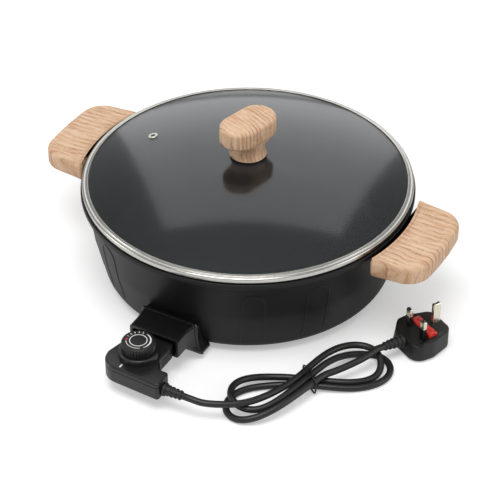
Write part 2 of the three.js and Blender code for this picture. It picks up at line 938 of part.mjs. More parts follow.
function grip() {
  const outline = gripOutline();
  const level = (at, distance) => ({ at, outline: inset(outline, distance) });
  const round = (share) => gripTopRound * share;
  const body = loft([
    level(gripBottom, gripBottomRound),
    level(gripBottom + gripBottomRound * (1 - Math.SQRT1_2), gripBottomRound * (1 - Math.SQRT1_2)),
    level(gripBottom + gripBottomRound, 0),
    level(gripTop - gripTopRound, 0),
    level(gripTop - round(1 - Math.SQRT1_2), round(1 - Math.SQRT1_2)),
    level(gripTop, gripTopRound),
  ]);
  const holeTop = gripBottom - bracketDepth - 2 * clearance + gripScrewLength + clearance;
  const holes = [-gripScrewOffset, gripScrewOffset].map((y) =>
    cylinder(gripScrewRadius + clearance, gripBottom - cutOverrun, holeTop).translate(gripScrewReach, y, 0),
  );
  return cut(body, ...holes);
}

function gripBracket() {
  const top = flangeUnderside - clearance;
  const bottom = gripBottom - clearance - bracketDepth;
  const outerRadius = gripInnerRadius - clearance;
  const angle = THREE.MathUtils.radToDeg(Math.asin(bracketHalfWidth / outerRadius));
  const sector = [
    new THREE.Vector2(bracketInnerRadius, -bracketHalfWidth),
    ...arc(0, 0, outerRadius, -angle, angle, cornerSteps * 2),
    new THREE.Vector2(bracketInnerRadius, bracketHalfWidth),
  ];
  const block = loft([
    { at: bottom, outline: sector },
    { at: top, outline: sector },
  ]);
  const tongueTop = bottom + bracketDepth;
  const tongueCorners = [
    [bracketInnerRadius + bracketTongueRoot, -bracketHalfWidth + bracketDepth],
    [bracketReach, -bracketHalfWidth + bracketDepth],
    [bracketReach, bracketHalfWidth - bracketDepth],
    [bracketInnerRadius + bracketTongueRoot, bracketHalfWidth - bracketDepth],
  ];
  const tongueOutline = rounded(tongueCorners, [0, bracketDepth * 2, bracketDepth * 2, 0]);
  const tongue = loft([
    { at: bottom, outline: tongueOutline },
    { at: tongueTop, outline: tongueOutline },
  ]);
  const holes = [-gripScrewOffset, gripScrewOffset].map((y) =>
    cylinder(gripScrewRadius + clearance, bottom - cutOverrun, tongueTop + cutOverrun).translate(
      gripScrewReach,
      y,
      0,
    ),
  );
  return cut(joined(block, tongue), panKeepOut(), ...holes);
}

function gripScrew(y) {
  const seat = gripBottom - bracketDepth - 2 * clearance;
  const piece = screw(gripScrewRadius, gripScrewLength, gripScrewHeadRadius, gripScrewHeadHeight);
  return piece.translate(gripScrewReach, y, seat);
}

// Lid

// The radius of the dome, from its crown and the height that the rim gives its edge.
const glassEdgeTop = lidRimTop - lidRimSheet - clearance;
const glassRise = glassCrown - glassEdgeTop;
const domeRadius = (glassRadius ** 2 + glassRise ** 2) / (2 * glassRise);

function domeHeight(radius) {
  return glassCrown - domeRadius + Math.sqrt(domeRadius ** 2 - radius ** 2);
}

// The height of the glass's underside at a radius, measured straight down.
function domeUnderside(radius) {
  return glassCrown - domeRadius + Math.sqrt((domeRadius - glassThickness) ** 2 - radius ** 2);
}

function lidGlass() {
  const bore = knobScrewRadius + clearance;
  const radii = Array.from({ length: glassRings + 1 }, (_, i) => bore + ((glassRadius - bore) * i) / glassRings);
  const under = radii.map((radius) => [radius, domeUnderside(radius)]);
  const over = radii.map((radius) => [radius, domeHeight(radius)]).reverse();
  const dome = turned([...under, ...over, under[0]], rimSides);
  const ventHole = ventPlaced(cylinder(ventTubeRadius + clearance, -glassThickness * 2, glassThickness * 2));
  return cut(dome, ventHole);
}

// Stands a piece that is made about the upright axis square on the glass at the vent, its seat at height 0.
function ventPlaced(geometry) {
  const lean = Math.asin(ventReach / domeRadius);
  return geometry
    .rotateY(lean)
    .translate(ventReach, 0, domeHeight(ventReach))
    .rotateZ(radians(ventAngle));
}

function ventEyelet() {
  const underside = -glassThickness - clearance;
  const profile = [
    [ventBoreRadius, underside - ventFlangeThickness],
    [ventFlangeRadius, underside - ventFlangeThickness],
    [ventFlangeRadius, underside],
    [ventTubeRadius, underside],
    [ventTubeRadius, clearance],
    [ventFlangeRadius, clearance],
    [ventFlangeRadius, clearance + ventFlangeThickness / 2],
    [ventFlangeRadius - ventFlangeThickness, clearance + ventFlangeThickness],
    [ventBoreRadius, clearance + ventFlangeThickness],
    [ventBoreRadius, underside - ventFlangeThickness],
  ];
  return ventPlaced(turned(profile, boltSides));
}

// The steel edge: a strip folded over the rim of the glass, with its flat lower leg on the pan's flange.
function lidRim() {
  const topInner = lidRadius - lidRimTopReach;
  const bottomInner = lidRadius - lidRimBottomReach;
  const inside = lidRadius - lidRimSheet;
  const slope = domeHeight(topInner) - glassEdgeTop;
  const profile = [
    [bottomInner, lidRimBottom],
    [lidRadius - lidRimSheet, lidRimBottom],
    [lidRadius, lidRimBottom + lidRimSheet],
    [lidRadius, lidRimTop - lidRimSheet],
    [lidRadius - lidRimSheet, lidRimTop],
    [topInner, lidRimTop + slope],
    [topInner, lidRimTop + slope - lidRimSheet],
    [glassRadius, lidRimTop - lidRimSheet],
    [inside, lidRimTop - lidRimSheet * 2],
    [inside, lidRimBottom + lidRimSheet],
    [bottomInner, lidRimBottom + lidRimSheet],
    [bottomInner, lidRimBottom],
  ];
  return turned(profile, rimSides);
}

// Knob

function lidKnob() {
  const flare = (knobHeadBottom - knobBase) / 5;
  const head = (distance) => stadium(knobHeadHalfLength - distance, knobHeadHalfWidth - distance, knobSides);
  const body = loft([
    { at: knobBase + clearance, outline: stadium(knobNeckRadius, knobNeckRadius, knobSides) },
    { at: knobBase + flare, outline: stadium(knobWaistRadius, knobWaistRadius, knobSides) },
    { at: knobHeadBottom - flare, outline: stadium(knobWaistRadius, knobWaistRadius, knobSides) },
    { at: knobHeadBottom - flare / 3, outline: stadium(knobNeckRadius, knobHeadHalfWidth - knobChinInset, knobSides) },
    { at: knobHeadBottom, outline: head(knobHeadRound) },
    { at: knobHeadBottom + knobHeadRound, outline: head(0) },
    { at: knobTop - knobHeadRound, outline: head(0) },
    { at: knobTop - knobHeadRound * (1 - Math.SQRT1_2), outline: head(knobHeadRound * (1 - Math.SQRT1_2)) },
    { at: knobTop, outline: head(knobHeadRound) },
  ]);
  const boreTop = knobScrewSeat() + knobScrewLength + clearance;
  const bore = cylinder(knobScrewRadius + clearance, knobBase - cutOverrun, boreTop);
  return cut(body, bore).rotateZ(radians(knobAngle));
}

function knobWasher() {
  const inner = knobScrewRadius + clearance;
  const bottom = glassCrown + clearance;
  return ring(inner, knobWasherRadius, bottom, bottom + knobWasherThickness, knobSides);
}

function lowerWasherTop() {
  return glassCrown - glassThickness - clearance;
}

function knobLowerWasher() {
  const top = lowerWasherTop() - (domeUnderside(0) - domeUnderside(lowerWasherRadius));
  return ring(knobScrewRadius + clearance, lowerWasherRadius, top - lowerWasherThickness, top, knobSides);
}

function knobScrewSeat() {
  const sag = domeUnderside(0) - domeUnderside(lowerWasherRadius);
  return lowerWasherTop() - sag - lowerWasherThickness - clearance;
}

function knobScrew() {
  const piece = screw(knobScrewRadius, knobScrewLength, knobScrewHeadRadius, knobScrewHeadHeight);
  return piece.translate(0, 0, knobScrewSeat());
}

// Heat control

// Seen from above: the tongue that enters the socket, the block behind it and the arm that turns off to the
// right, where the cord comes out.
function controlOutline() {
  const corners = [
    [controlTongueHalfWidth, -controlTongueFront],
    [-controlTongueHalfWidth, -controlTongueFront],
    [-controlTongueHalfWidth, -controlBlockFront],
    [-controlArmLeft, -controlArmBack],
    [-controlArmLeft + controlCorner, -controlArmFront + controlCorner],
    [controlArmRight, -controlArmFront],
    [controlArmRight, -controlArmBack],
    [controlArmNeck, -controlArmBack],
    [controlBlockHalfWidth, -controlNeckFront],
    [controlBlockHalfWidth, -controlBlockFront],
  ];
  const soft = controlCorner;
  return rounded(corners, [soft, soft, soft, soft * 2, controlArmCorner, soft, soft, soft, soft, soft]);
}

// What is cut from under the tongue and the block, where the control is less deep than at its arm.
function controlUndercuts(lift, back) {
  const side = controlArmRight + controlArmLeft;
  const low = controlArmBottom - cutOverrun;
  const armBack = controlArmBack - controlCorner + back;
  return [
    box(-side, side, -armBack, -controlTongueFront + side, low, controlBlockBottom + lift),
    box(-side, side, -controlBlockFront - back, -controlTongueFront + side, low, controlTongueBottom + lift),
  ];
}

function controlOpenings() {
  const from = controlTongueFront - cutOverrun;
  const to = controlTongueFront + controlWall + cutOverrun;
  const relief = cylinder(reliefNeckRadius + clearance, -controlWall - cutOverrun, cutOverrun);
  return [
    frontCylinder(terminalPinRadius + clearance * 2, -terminalSide, terminalHeight, from, to),
    frontCylinder(terminalPinRadius + clearance * 2, terminalSide, terminalHeight, from, to),
    frontCylinder(probeRadius + clearance, 0, terminalHeight, from, to),
    relief.rotateY(Math.PI / 2).translate(controlArmRight, -reliefFront, reliefHeight),
  ];
}

const controlScrewSides = [controlScrewLeft, controlScrewRight];

function controlLowerCase() {
  const outline = controlOutline();
  const top = splitHeight - clearance / 2;
  const bulk = loft([
    { at: controlArmBottom, outline: inset(outline, controlEdge) },
    { at: controlArmBottom + controlEdge, outline },
    { at: top, outline },
  ]);
  const hollow = loft([
    { at: controlArmBottom + controlWall, outline: inset(outline, controlWall) },
    { at: top + cutOverrun, outline: inset(outline, controlWall) },
  ]);
  const room = cut(hollow, ...controlUndercuts(controlWall, controlWall));
  const case_ = cut(cut(bulk, ...controlUndercuts(0, 0)), room);
  const posts = controlScrewSides.map((x) =>
    cylinder(controlPostRadius, controlArmBottom + controlEdge, top).translate(x, -controlScrewFront, 0),
  );
  const headTop = controlArmBottom + controlScrewSink + controlScrewHeadHeight;
  const holes = controlScrewSides.flatMap((x) => [
    cylinder(controlScrewHeadRadius + clearance, controlArmBottom - cutOverrun, headTop + clearance).translate(
      x,
      -controlScrewFront,
      0,
    ),
    cylinder(controlScrewRadius + clearance, controlArmBottom, top + cutOverrun).translate(
      x,
      -controlScrewFront,
      0,
    ),
  ]);
  return cut(joined(case_, ...posts), ...holes, ...controlOpenings());
}

function controlScrewTop() {
  return controlTop - controlWall - clearance;
}

function controlUpperCase() {
  const outline = controlOutline();
  const bottom = splitHeight + clearance / 2;
  const deck = loft([
    { at: bottom, outline },
    { at: controlTop - controlEdge, outline },
    { at: controlTop - controlEdge * (1 - Math.SQRT1_2), outline: inset(outline, controlEdge * (1 - Math.SQRT1_2)) },
    { at: controlTop, outline: inset(outline, controlEdge) },
  ]);
  const roomTop = controlTop - controlWall;
  const room = loft([
    { at: bottom - cutOverrun, outline: inset(outline, controlWall) },
    { at: roomTop, outline: inset(outline, controlWall) },
  ]);
  const plinth = turned(
    [
      [0, roomTop],
      [plinthRadius, roomTop],
      [plinthRadius, plinthTop - plinthEdge],
      [plinthRadius - plinthEdge, plinthTop],
      [0, plinthTop],
    ],
    knobSides,
  ).translate(0, -dialFront, 0);
  const well = cylinder(plinthRadius - controlWall, roomTop - cutOverrun, plinthTop - controlWall, knobSides);
  const spindleHole = cylinder(spindleRadius + clearance, roomTop, plinthTop + cutOverrun);
  const posts = controlScrewSides.map((x) =>
    cylinder(controlPostRadius, bottom, controlTop - controlWall / 2).translate(x, -controlScrewFront, 0),
  );
  const holes = controlScrewSides.map((x) =>
    cylinder(controlScrewRadius + clearance, bottom - cutOverrun, controlScrewTop() + clearance).translate(
      x,
      -controlScrewFront,
      0,
    ),
  );
  const halfWidth = indexMarkWidth / 2 + clearance;
  const halfLength = indexMarkLength / 2 + clearance;
  const markPocket = box(
    indexMarkSide - halfWidth,
    indexMarkSide + halfWidth,
    -indexMarkFront - halfLength,
    -indexMarkFront + halfLength,
    controlTop - indexMarkDepth,
    controlTop + cutOverrun,
  );
  return cut(
    joined(cut(deck, room), plinth, ...posts),
    well.translate(0, -dialFront, 0),
    spindleHole.translate(0, -dialFront, 0),
    ...holes,
    markPocket,
    ...controlOpenings(),
  );
}

function indexMark() {
  return box(
    indexMarkSide - indexMarkWidth / 2,
    indexMarkSide + indexMarkWidth / 2,
    -indexMarkFront - indexMarkLength / 2,
    -indexMarkFront + indexMarkLength / 2,
    controlTop - indexMarkDepth + clearance,
    controlTop + indexMarkProud,
  );
}

function controlScrew(x) {
  const seat = controlArmBottom + controlScrewSink + controlScrewHeadHeight;
  const length = controlScrewTop() - seat;
  const piece = screw(controlScrewRadius, length, controlScrewHeadRadius, controlScrewHeadHeight);
  return piece.translate(x, -controlScrewFront, seat);
}

function spindleTop() {
  return dialTop - dialCap - clearance;
}

function dial() {
  const bottom = plinthTop + clearance;
  const outline = [];
  for (let i = 0; i < dialRibCount; i += 1) {
    const angle = (2 * Math.PI * i) / dialRibCount;
    const quarter = Math.PI / dialRibCount / 2;
    for (const [turn, radius] of [
      [angle - quarter, dialRadius],
      [angle + quarter, dialRadius],
      [angle + 2 * quarter, dialRadius - dialRibDepth],
    ]) {
      outline.push(new THREE.Vector2(Math.cos(turn), Math.sin(turn)).multiplyScalar(radius));
    }
  }
  const smaller = (distance) =>
    outline.map((point) => point.clone().multiplyScalar((dialRadius - distance) / dialRadius));
  const body = loft([
    { at: bottom, outline },
    { at: dialTop - dialEdge, outline },
    { at: dialTop, outline: smaller(dialEdge) },
  ]);
  const bore = cylinder(spindleRadius + clearance, bottom - cutOverrun, dialTop - dialCap);
  return cut(body, bore).translate(0, -dialFront, 0);
}

function thermostatTop() {
  return controlTop - controlWall - clearance;
}

function dialSpindle() {
  const from = thermostatTop() + clearance;
  return cylinder(spindleRadius, from, spindleTop()).translate(0, -dialFront, 0);
}

function thermostatBody() {
  const front = contactFront + clearance;
  const bottom = controlBlockBottom + controlWall + clearance;
  return box(-thermostatHalfWidth, thermostatHalfWidth, -thermostatBack, -front, bottom, thermostatTop());
}

function probeRod() {
  return frontCylinder(probeRadius, 0, terminalHeight, probeTipFront, contactFront);
}

function contactSleeve(side) {
  const inner = terminalPinRadius + clearance;
  const back = controlTongueFront + controlWall + clearance;
  const tube = ring(inner, inner + contactWall, back, contactFront, boltSides);
  return tube.rotateX(Math.PI / 2).translate(side * terminalSide, 0, terminalHeight);
}

// A ribbed, tapering sleeve along +Z: ribs from the root's radius to the tip's, from one height to another.
function ribs(from, to, rootRadius, tipRadius, count, depth) {
  const pitch = (to - from) / count;
  const profile = [];
  for (let i = 0; i < count; i += 1) {
    const radius = THREE.MathUtils.lerp(rootRadius, tipRadius, i / (count - 1));
    profile.push([radius, from + pitch * i]);
    profile.push([radius, from + pitch * (i + 1 / 2)]);
    if (i < count - 1) {
      profile.push([radius - depth, from + pitch * (i + 1 / 2)]);
      profile.push([radius - depth, from + pitch * (i + 1)]);
    }
  }
  profile.push([profile[profile.length - 1][0], to]);
  return profile;
}

function controlStrainRelief() {
  const anchorEnd = controlArmRight - controlWall - clearance;
  const collarStart = controlArmRight + clearance;
  const collarEnd = collarStart + reliefCollarThickness;
  const profile = [
    [0, anchorEnd - reliefAnchorThickness],
    [reliefAnchorRadius, anchorEnd - reliefAnchorThickness],
    [reliefAnchorRadius, anchorEnd],
    [reliefNeckRadius, anchorEnd],
    [reliefNeckRadius, collarStart],
    [reliefRootRadius, collarStart],
    [reliefRootRadius, collarEnd],
    [reliefTipRadius, collarEnd],
    ...ribs(
      collarEnd + reliefRibDepth,
      reliefTip,
      reliefRootRadius - reliefRibDepth,
      reliefTipRadius,
      reliefRibCount,
      reliefRibDepth,
    ),
    [0, reliefTip],
  ];
  return turned(profile, boltSides).rotateY(Math.PI / 2).translate(0, -reliefFront, reliefHeight);
}

// Plug, made in its own frame: u along x, v along y, its back on the floor

function plugOutline() {
  const corners = [
    [-plugCordHalfWidth, -plugCordEnd],
    [plugCordHalfWidth, -plugCordEnd],
    [plugHalfWidth, plugShoulder],
    [plugEarthHalfWidth, plugEarthEnd],
    [-plugEarthHalfWidth, plugEarthEnd],
    [-plugHalfWidth, plugShoulder],
  ];
  const round = plugCorner;
  return rounded(corners, [round, round, round * 2, round, round, round * 2]);
}

function pinHole(halfWidth, halfHeight, v, u) {
  return box(
    u - halfWidth - clearance,
    u + halfWidth + clearance,
    v - halfHeight - clearance,
    v + halfHeight + clearance,
    pinRoot - clearance,
    plugFace + cutOverrun,
  );
}

// The fuse carrier's outline, narrower in the middle than at its ends.
function carrierOutline() {
  const corners = [
    [-carrierHalfLength, -carrierHalfWidth],
    [-carrierHalfLength / 2, -carrierHalfWidth],
    [0, -carrierWaist],
    [carrierHalfLength / 2, -carrierHalfWidth],
    [carrierHalfLength, -carrierHalfWidth],
    [carrierHalfLength, carrierHalfWidth],
    [carrierHalfLength / 2, carrierHalfWidth],
    [0, carrierWaist],
    [-carrierHalfLength / 2, carrierHalfWidth],
    [-carrierHalfLength, carrierHalfWidth],
  ];
  return corners.map(([u, v]) => new THREE.Vector2(u, v + fuseOffset));
}

function plugBody() {
  const outline = plugOutline();
  const body = loft([
    { at: plugFloorGap, outline: inset(outline, plugBackEdge) },
    { at: plugFloorGap + plugBackEdge * (1 - Math.SQRT1_2), outline: inset(outline, plugBackEdge * (1 - Math.SQRT1_2)) },
    { at: plugFloorGap + plugBackEdge, outline },
    { at: plugFace - plugFaceEdge, outline },
    { at: plugFace, outline: inset(outline, plugFaceEdge) },
  ]);
  const pocketOutline = inset(carrierOutline(), -clearance);
  const pocket = loft([
    { at: plugFace - carrierDepth - clearance, outline: pocketOutline },
    { at: plugFace + cutOverrun, outline: pocketOutline },
  ]);
  return cut(
    body,
    pinHole(pinWidth / 2, pinThickness / 2, 0, -pinOffset),
    pinHole(pinWidth / 2, pinThickness / 2, 0, pinOffset),
    pinHole(earthPinWidth / 2, earthPinHeight / 2, earthPinOffset, 0),
    pocket,
  );
}

function pin(halfWidth, halfHeight, length, u, v) {
  const outline = (distance) =>
    [
      [-halfWidth + distance, -halfHeight + distance],
      [halfWidth - distance, -halfHeight + distance],
      [halfWidth - distance, halfHeight - distance],
      [-halfWidth + distance, halfHeight - distance],
    ].map(([x, y]) => new THREE.Vector2(u + x, v + y));
  return loft([
    { at: pinRoot, outline: outline(0) },
    { at: plugFace + length - pinTaper, outline: outline(0) },
    { at: plugFace + length, outline: outline(pinTaper) },
  ]);
}

// A bridge over the fuse with a leg down at each end.
function fuseCarrier() {
  const outline = carrierOutline();
  const body = loft([
    { at: plugFace - carrierDepth, outline },
    { at: plugFace + carrierProud, outline },
  ]);
  const reach = fuseLength / 2 + clearance;
  const wide = carrierHalfWidth + cutOverrun;
  const room = box(
    -reach,
    reach,
    fuseOffset - wide,
    fuseOffset + wide,
    plugFace - carrierDepth - cutOverrun,
    plugFace - carrierTop,
  );
  return cut(body, room);
}

function fuse() {
  const height = plugFace - carrierTop - clearance - fuseRadius;
  const piece = cylinder(fuseRadius, -fuseLength / 2, fuseLength / 2);
  return piece.rotateY(Math.PI / 2).translate(0, fuseOffset, height);
}

function plugReliefAxis() {
  const start = new THREE.Vector3(0, -plugCordEnd - clearance, plugReliefHeight);
  const end = new THREE.Vector3(0, -plugReliefTip, plugReliefHeight + plugReliefRise);
  return { start, end };
}

function plugStrainRelief() {
  const { start, end } = plugReliefAxis();
  const length = end.distanceTo(start);
  const rootRadius = plugReliefRootRadius;
  const profile = [
    [0, 0],
    ...ribs(0, length, rootRadius, plugReliefTipRadius, plugReliefRibCount, reliefRibDepth),
    [0, length],
  ];
  const lean = Math.atan2(plugReliefRise, plugReliefTip - plugCordEnd - clearance);
  const piece = turned(profile, boltSides).rotateX(Math.PI / 2 - lean);
  return cut(piece.translate(start.x, start.y, start.z), plugKeepOut());
}

// The plug's body and a clearance around it.
function plugKeepOut() {
  const outline = inset(plugOutline(), -clearance);
  return loft([
    { at: -cutOverrun, outline },
    { at: plugFace + cutOverrun, outline },
  ]);
}

// Cord

function hankHeight(halfTurns) {
  const next = Math.max(1, hankLevelShares.findIndex(([at]) => at >= halfTurns));
  const [fromTurn, fromLevel] = hankLevelShares[next - 1];
  const [toTurn, toLevel] = hankLevelShares[next];
  const level = fromLevel + (toLevel - fromLevel) * THREE.MathUtils.smoothstep(halfTurns, fromTurn, toTurn);
  return cordRadius + hankFloorGap + hankPileHeight * level;
}

// The hank's centreline: a figure of eight whose loops lie side by side and grow as they are wound.
function hankPoint(halfTurns) {
  const turn = halfTurns * Math.PI;
  const turns = halfTurns / 2;
  const grown = hankHalfLength + hankGrowth * turns;
  const spread = hankWaistShare + (1 - hankWaistShare) * Math.cos(turn) ** 2;
  const middleTurn = (hankStart + hankEnd) / 4;
  const v =
    -hankHalfWidth * Math.sin(2 * turn) * (1 + hankPointShare * Math.cos(2 * turn)) +
    hankPitch * (middleTurn - turns) * spread;
  const u = -grown * Math.cos(turn) * (1 - hankRoundShare * Math.sin(turn) ** 2) + hankLeanShare * v;
  const point = new THREE.Vector3(u, v, hankHeight(halfTurns));
  return point.applyAxisAngle(new THREE.Vector3(0, 0, 1), radians(hankYaw)).add(new THREE.Vector3(hankX, hankY, 0));
}

// The hank's points, with a straight run at each end, level and along the cord's own direction there.
function hankRoute() {
  const points = [];
  for (let i = 0; i <= hankSteps; i += 1) {
    points.push(hankPoint(THREE.MathUtils.lerp(hankStart, hankEnd, i / hankSteps)));
  }
  const straight = hankStraightDiameters * cordDiameter;
  const runOut = (from, to, turn) => {
    const direction = from.clone().sub(to).setZ(0).normalize();
    direction.applyAxisAngle(new THREE.Vector3(0, 0, 1), radians(turn));
    return [straight / 2, straight].map((reach) => from.clone().addScaledVector(direction, reach));
  };
  const head = runOut(points[0], points[1], hankHeadTurn);
  const end = runOut(points[points.length - 1], points[points.length - 2], 0);
  return [...head.reverse(), ...points, ...end];
}

// The least gap between two stretches of a cord, measured on points along its centreline.
function leastGap(points, diameter) {
  const spacing = diameter / 4;
  const curve = new THREE.CatmullRomCurve3(points);
  const spots = curve.getSpacedPoints(Math.round(curve.getLength() / spacing));
  const apart = Math.round((3 * diameter) / spacing);
  let least = Infinity;
  for (let i = 0; i < spots.length; i += 1) {
    for (let k = i + apart; k < spots.length; k += 1) least = Math.min(least, spots[i].distanceTo(spots[k]));
  }
  return least - diameter;
}

// A stretch of cord through points, with straight ends square to what they meet.
function cordStretch(points) {
  const curve = new THREE.CatmullRomCurve3(points);
  const steps = Math.round(curve.getLength() / (cordStepDiameters * cordDiameter));
  return tubeAlong(curve, cordRadius, cordSides, steps);
}

// A point one diameter further along a direction, so that the cord leaves what it meets straight.
function straightOn(point, direction) {
  return point.clone().addScaledVector(direction, cordDiameter);
}

const behindArm = ([x, back, height]) => new THREE.Vector3(x, back - controlArmFront, height);

function leadRoute(route) {
  const start = new THREE.Vector3(reliefTip + clearance, -reliefFront, reliefHeight);
  const out = new THREE.Vector3(1, 0, 0);
  const back = route[0].clone().sub(route[1]).normalize();
  const end = route[0].clone().addScaledVector(back, clearance);
  const between = leadPoints.map(behindArm);
  return [start, straightOn(start, out), ...between, straightOn(end, back), end];
}

function tailRoute(route) {
  const last = route.length - 1;
  const on = route[last].clone().sub(route[last - 1]).normalize();
  const start = route[last].clone().addScaledVector(on, clearance);
  const upright = new THREE.Vector3(0, 0, 1);
  const axis = plugReliefAxis();
  const out = axis.end.clone().sub(axis.start).normalize().applyAxisAngle(upright, radians(plugYaw));
  const tip = axis.end.clone().applyAxisAngle(upright, radians(plugYaw)).add(new THREE.Vector3(plugX, plugY, 0));
  const end = tip.addScaledVector(out, clearance);
  const between = tailPoints.map(behindArm);
  return [start, straightOn(start, on), ...between, straightOn(end, out), end];
}

// The tie: a wire once round the waist of the hank, its two tails standing up side by side.
function twistTie() {
  const outline = rounded(
    [
      [-tieTailSpacing / 2, tieTop],
      [-tieHalfWidth, tieTop],
      [-tieHalfWidth, tieBottom],
      [tieHalfWidth, tieBottom],
      [tieHalfWidth, tieTop],
      [tieTailSpacing / 2, tieTop],
    ],
    [0, tieCorner, tieCorner, tieCorner, tieCorner, 0],
  );
  const start = new THREE.Vector2(-tieTailSpacing / 2, tieTop + tieTail);
  const end = new THREE.Vector2(tieTailSpacing / 2, tieTop + tieTail);
  const points = [start, ...outline, end].map((point) => new THREE.Vector3(0, point.x, point.y));
  return tubeThrough(points, tieRadius, tieSides).rotateZ(radians(hankYaw)).translate(hankX, hankY, 0);
}

// Assembly

const hotPot = new THREE.Group();
hotPot.position.z = -coverBottom;

function place(parent, name, geometry, material) {
  const mesh = new THREE.Mesh(geometry, material);
  mesh.name = name;
  parent.add(mesh);
  return mesh;
}

function addPan() {
  place(hotPot, 'pan_body', panBody(), blackCoating);
  place(hotPot, 'heating_element', heatingElement(), aluminium);
  place(hotPot, 'terminal_pin_left', terminalPin(-1), steel);
  place(hotPot, 'terminal_pin_right', terminalPin(1), steel);
  place(hotPot, 'probe_sleeve', probeSleeve(), aluminium);
  place(hotPot, 'socket_housing', socketHousing(), glossBlack);
  place(hotPot, 'socket_screw_left', socketScrew(-1), steel);
  place(hotPot, 'socket_screw_right', socketScrew(1), steel);
}

function addBase() {
  place(hotPot, 'base_cover', baseCover(), mattBlack);
  const screwSeat = coverBottom - clearance;
  coverScrewPlaces().forEach(({ x, y }, i) => {
    const piece = screw(coverScrewRadius, coverScrewLength, coverScrewHeadRadius, coverScrewHeadHeight);
    place(hotPot, `base_screw_${i + 1}`, piece, steel).position.set(x, y, screwSeat);
  });
  footPlaces().forEach(({ x, y }, i) => {
    place(hotPot, `foot_${i + 1}`, foot(), rubber).position.set(x, y, 0);
  });
}

function addGrip(side, turn) {
  const group = new THREE.Group();
  group.rotation.z = turn;
  place(group, `handle_${side}`, grip(), wood);
  place(group, `handle_bracket_${side}`, gripBracket(), mattBlack);
  place(group, `handle_screw_${side}_1`, gripScrew(-gripScrewOffset), steel);
  place(group, `handle_screw_${side}_2`, gripScrew(gripScrewOffset), steel);
  hotPot.add(group);
}

function addLid() {
  place(hotPot, 'lid_glass', lidGlass(), glass);
  place(hotPot, 'lid_rim', lidRim(), steel);
  place(hotPot, 'vent_eyelet', ventEyelet(), steel);
  place(hotPot, 'lid_knob', lidKnob(), wood);
  place(hotPot, 'knob_washer', knobWasher(), mattBlack);
  place(hotPot, 'knob_lower_washer', knobLowerWasher(), steel);
  place(hotPot, 'knob_screw', knobScrew(), steel);
}

function addControl() {
  place(hotPot, 'control_lower_case', controlLowerCase(), glossBlack);
  place(hotPot, 'control_upper_case', controlUpperCase(), glossBlack);
  place(hotPot, 'control_screw_left', controlScrew(controlScrewLeft), steel);
  place(hotPot, 'control_screw_right', controlScrew(controlScrewRight), steel);
  place(hotPot, 'index_mark', indexMark(), whiteInlay);
  place(hotPot, 'dial', dial(), glossBlack);
  place(hotPot, 'dial_spindle', dialSpindle(), brass);
  place(hotPot, 'thermostat_body', thermostatBody(), ceramic);
  place(hotPot, 'probe_rod', probeRod(), steel);
  place(hotPot, 'contact_sleeve_left', contactSleeve(-1), brass);
  place(hotPot, 'contact_sleeve_right', contactSleeve(1), brass);
  place(hotPot, 'control_strain_relief', controlStrainRelief(), rubber);
}

function addCord() {
  const route = hankRoute();
  const lead = leadRoute(route);
  const tail = tailRoute(route);
  place(hotPot, 'cord_lead', cordStretch(lead), rubber);
  place(hotPot, 'cord_hank', tubeThrough(route, cordRadius, hankSides), rubber);
  place(hotPot, 'cord_tail', cordStretch(tail), rubber);
  place(hotPot, 'twist_tie', twistTie(), mattBlack);
  const lengthOf = (points) => new THREE.CatmullRomCurve3(points).getLength();
  const length = lengthOf(lead) + lengthOf(route) + lengthOf(tail);
  console.log(`cord length ${length.toFixed(0)} mm, least gap in the hank ${leastGap(route, cordDiameter).toFixed(2)} mm`);
  console.log(`least gap of the whole cord ${leastGap([...lead, ...route, ...tail], cordDiameter).toFixed(2)} mm`);
}

function addPlug() {
  const group = new THREE.Group();
  group.position.set(plugX, plugY, 0);
  group.rotation.z = radians(plugYaw);
  place(group, 'plug_body', plugBody(), glossBlack);
  place(group, 'plug_strain_relief', plugStrainRelief(), rubber);
  place(group, 'neutral_pin', pin(pinWidth / 2, pinThickness / 2, pinLength, -pinOffset, 0), pinMetal);
  place(group, 'live_pin', pin(pinWidth / 2, pinThickness / 2, pinLength, pinOffset, 0), pinMetal);
  const earth = pin(earthPinWidth / 2, earthPinHeight / 2, earthPinLength, 0, earthPinOffset);
  place(group, 'earth_pin', earth, pinMetal);
  place(group, 'fuse_carrier', fuseCarrier(), redPlastic);
  place(group, 'fuse', fuse(), ceramic);
  hotPot.add(group);
}

addPan();
addBase();
addGrip('right', 0);
addGrip('left', Math.PI);
addLid();
addControl();
addCord();
addPlug();

export default hotPot;
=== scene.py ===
import math

import bmesh
import bpy
import numpy as np
from mathutils import Matrix, Vector


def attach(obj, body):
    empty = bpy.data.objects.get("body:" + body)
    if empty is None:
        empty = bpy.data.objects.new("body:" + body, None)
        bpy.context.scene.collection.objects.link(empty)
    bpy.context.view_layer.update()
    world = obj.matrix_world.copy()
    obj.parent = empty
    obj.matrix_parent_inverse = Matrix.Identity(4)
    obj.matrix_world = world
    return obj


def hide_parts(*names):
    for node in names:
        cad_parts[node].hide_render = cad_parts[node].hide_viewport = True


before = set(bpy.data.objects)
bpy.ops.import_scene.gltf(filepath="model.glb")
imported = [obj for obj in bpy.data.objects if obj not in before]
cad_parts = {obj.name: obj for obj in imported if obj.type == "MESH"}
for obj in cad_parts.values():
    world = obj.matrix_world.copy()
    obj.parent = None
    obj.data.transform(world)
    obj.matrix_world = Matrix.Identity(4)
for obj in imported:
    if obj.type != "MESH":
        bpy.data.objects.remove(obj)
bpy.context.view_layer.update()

# Studio
# A white table that runs off to white, soft lights overhead, behind and at both sides, and a long lens from
# the front right. Heights in this file are in millimetres above the table.
MM = 0.001
foot_height = 2.5


def metres(point):
    x, y, height = point
    return Vector((x * MM, y * MM, (height - foot_height) * MM))


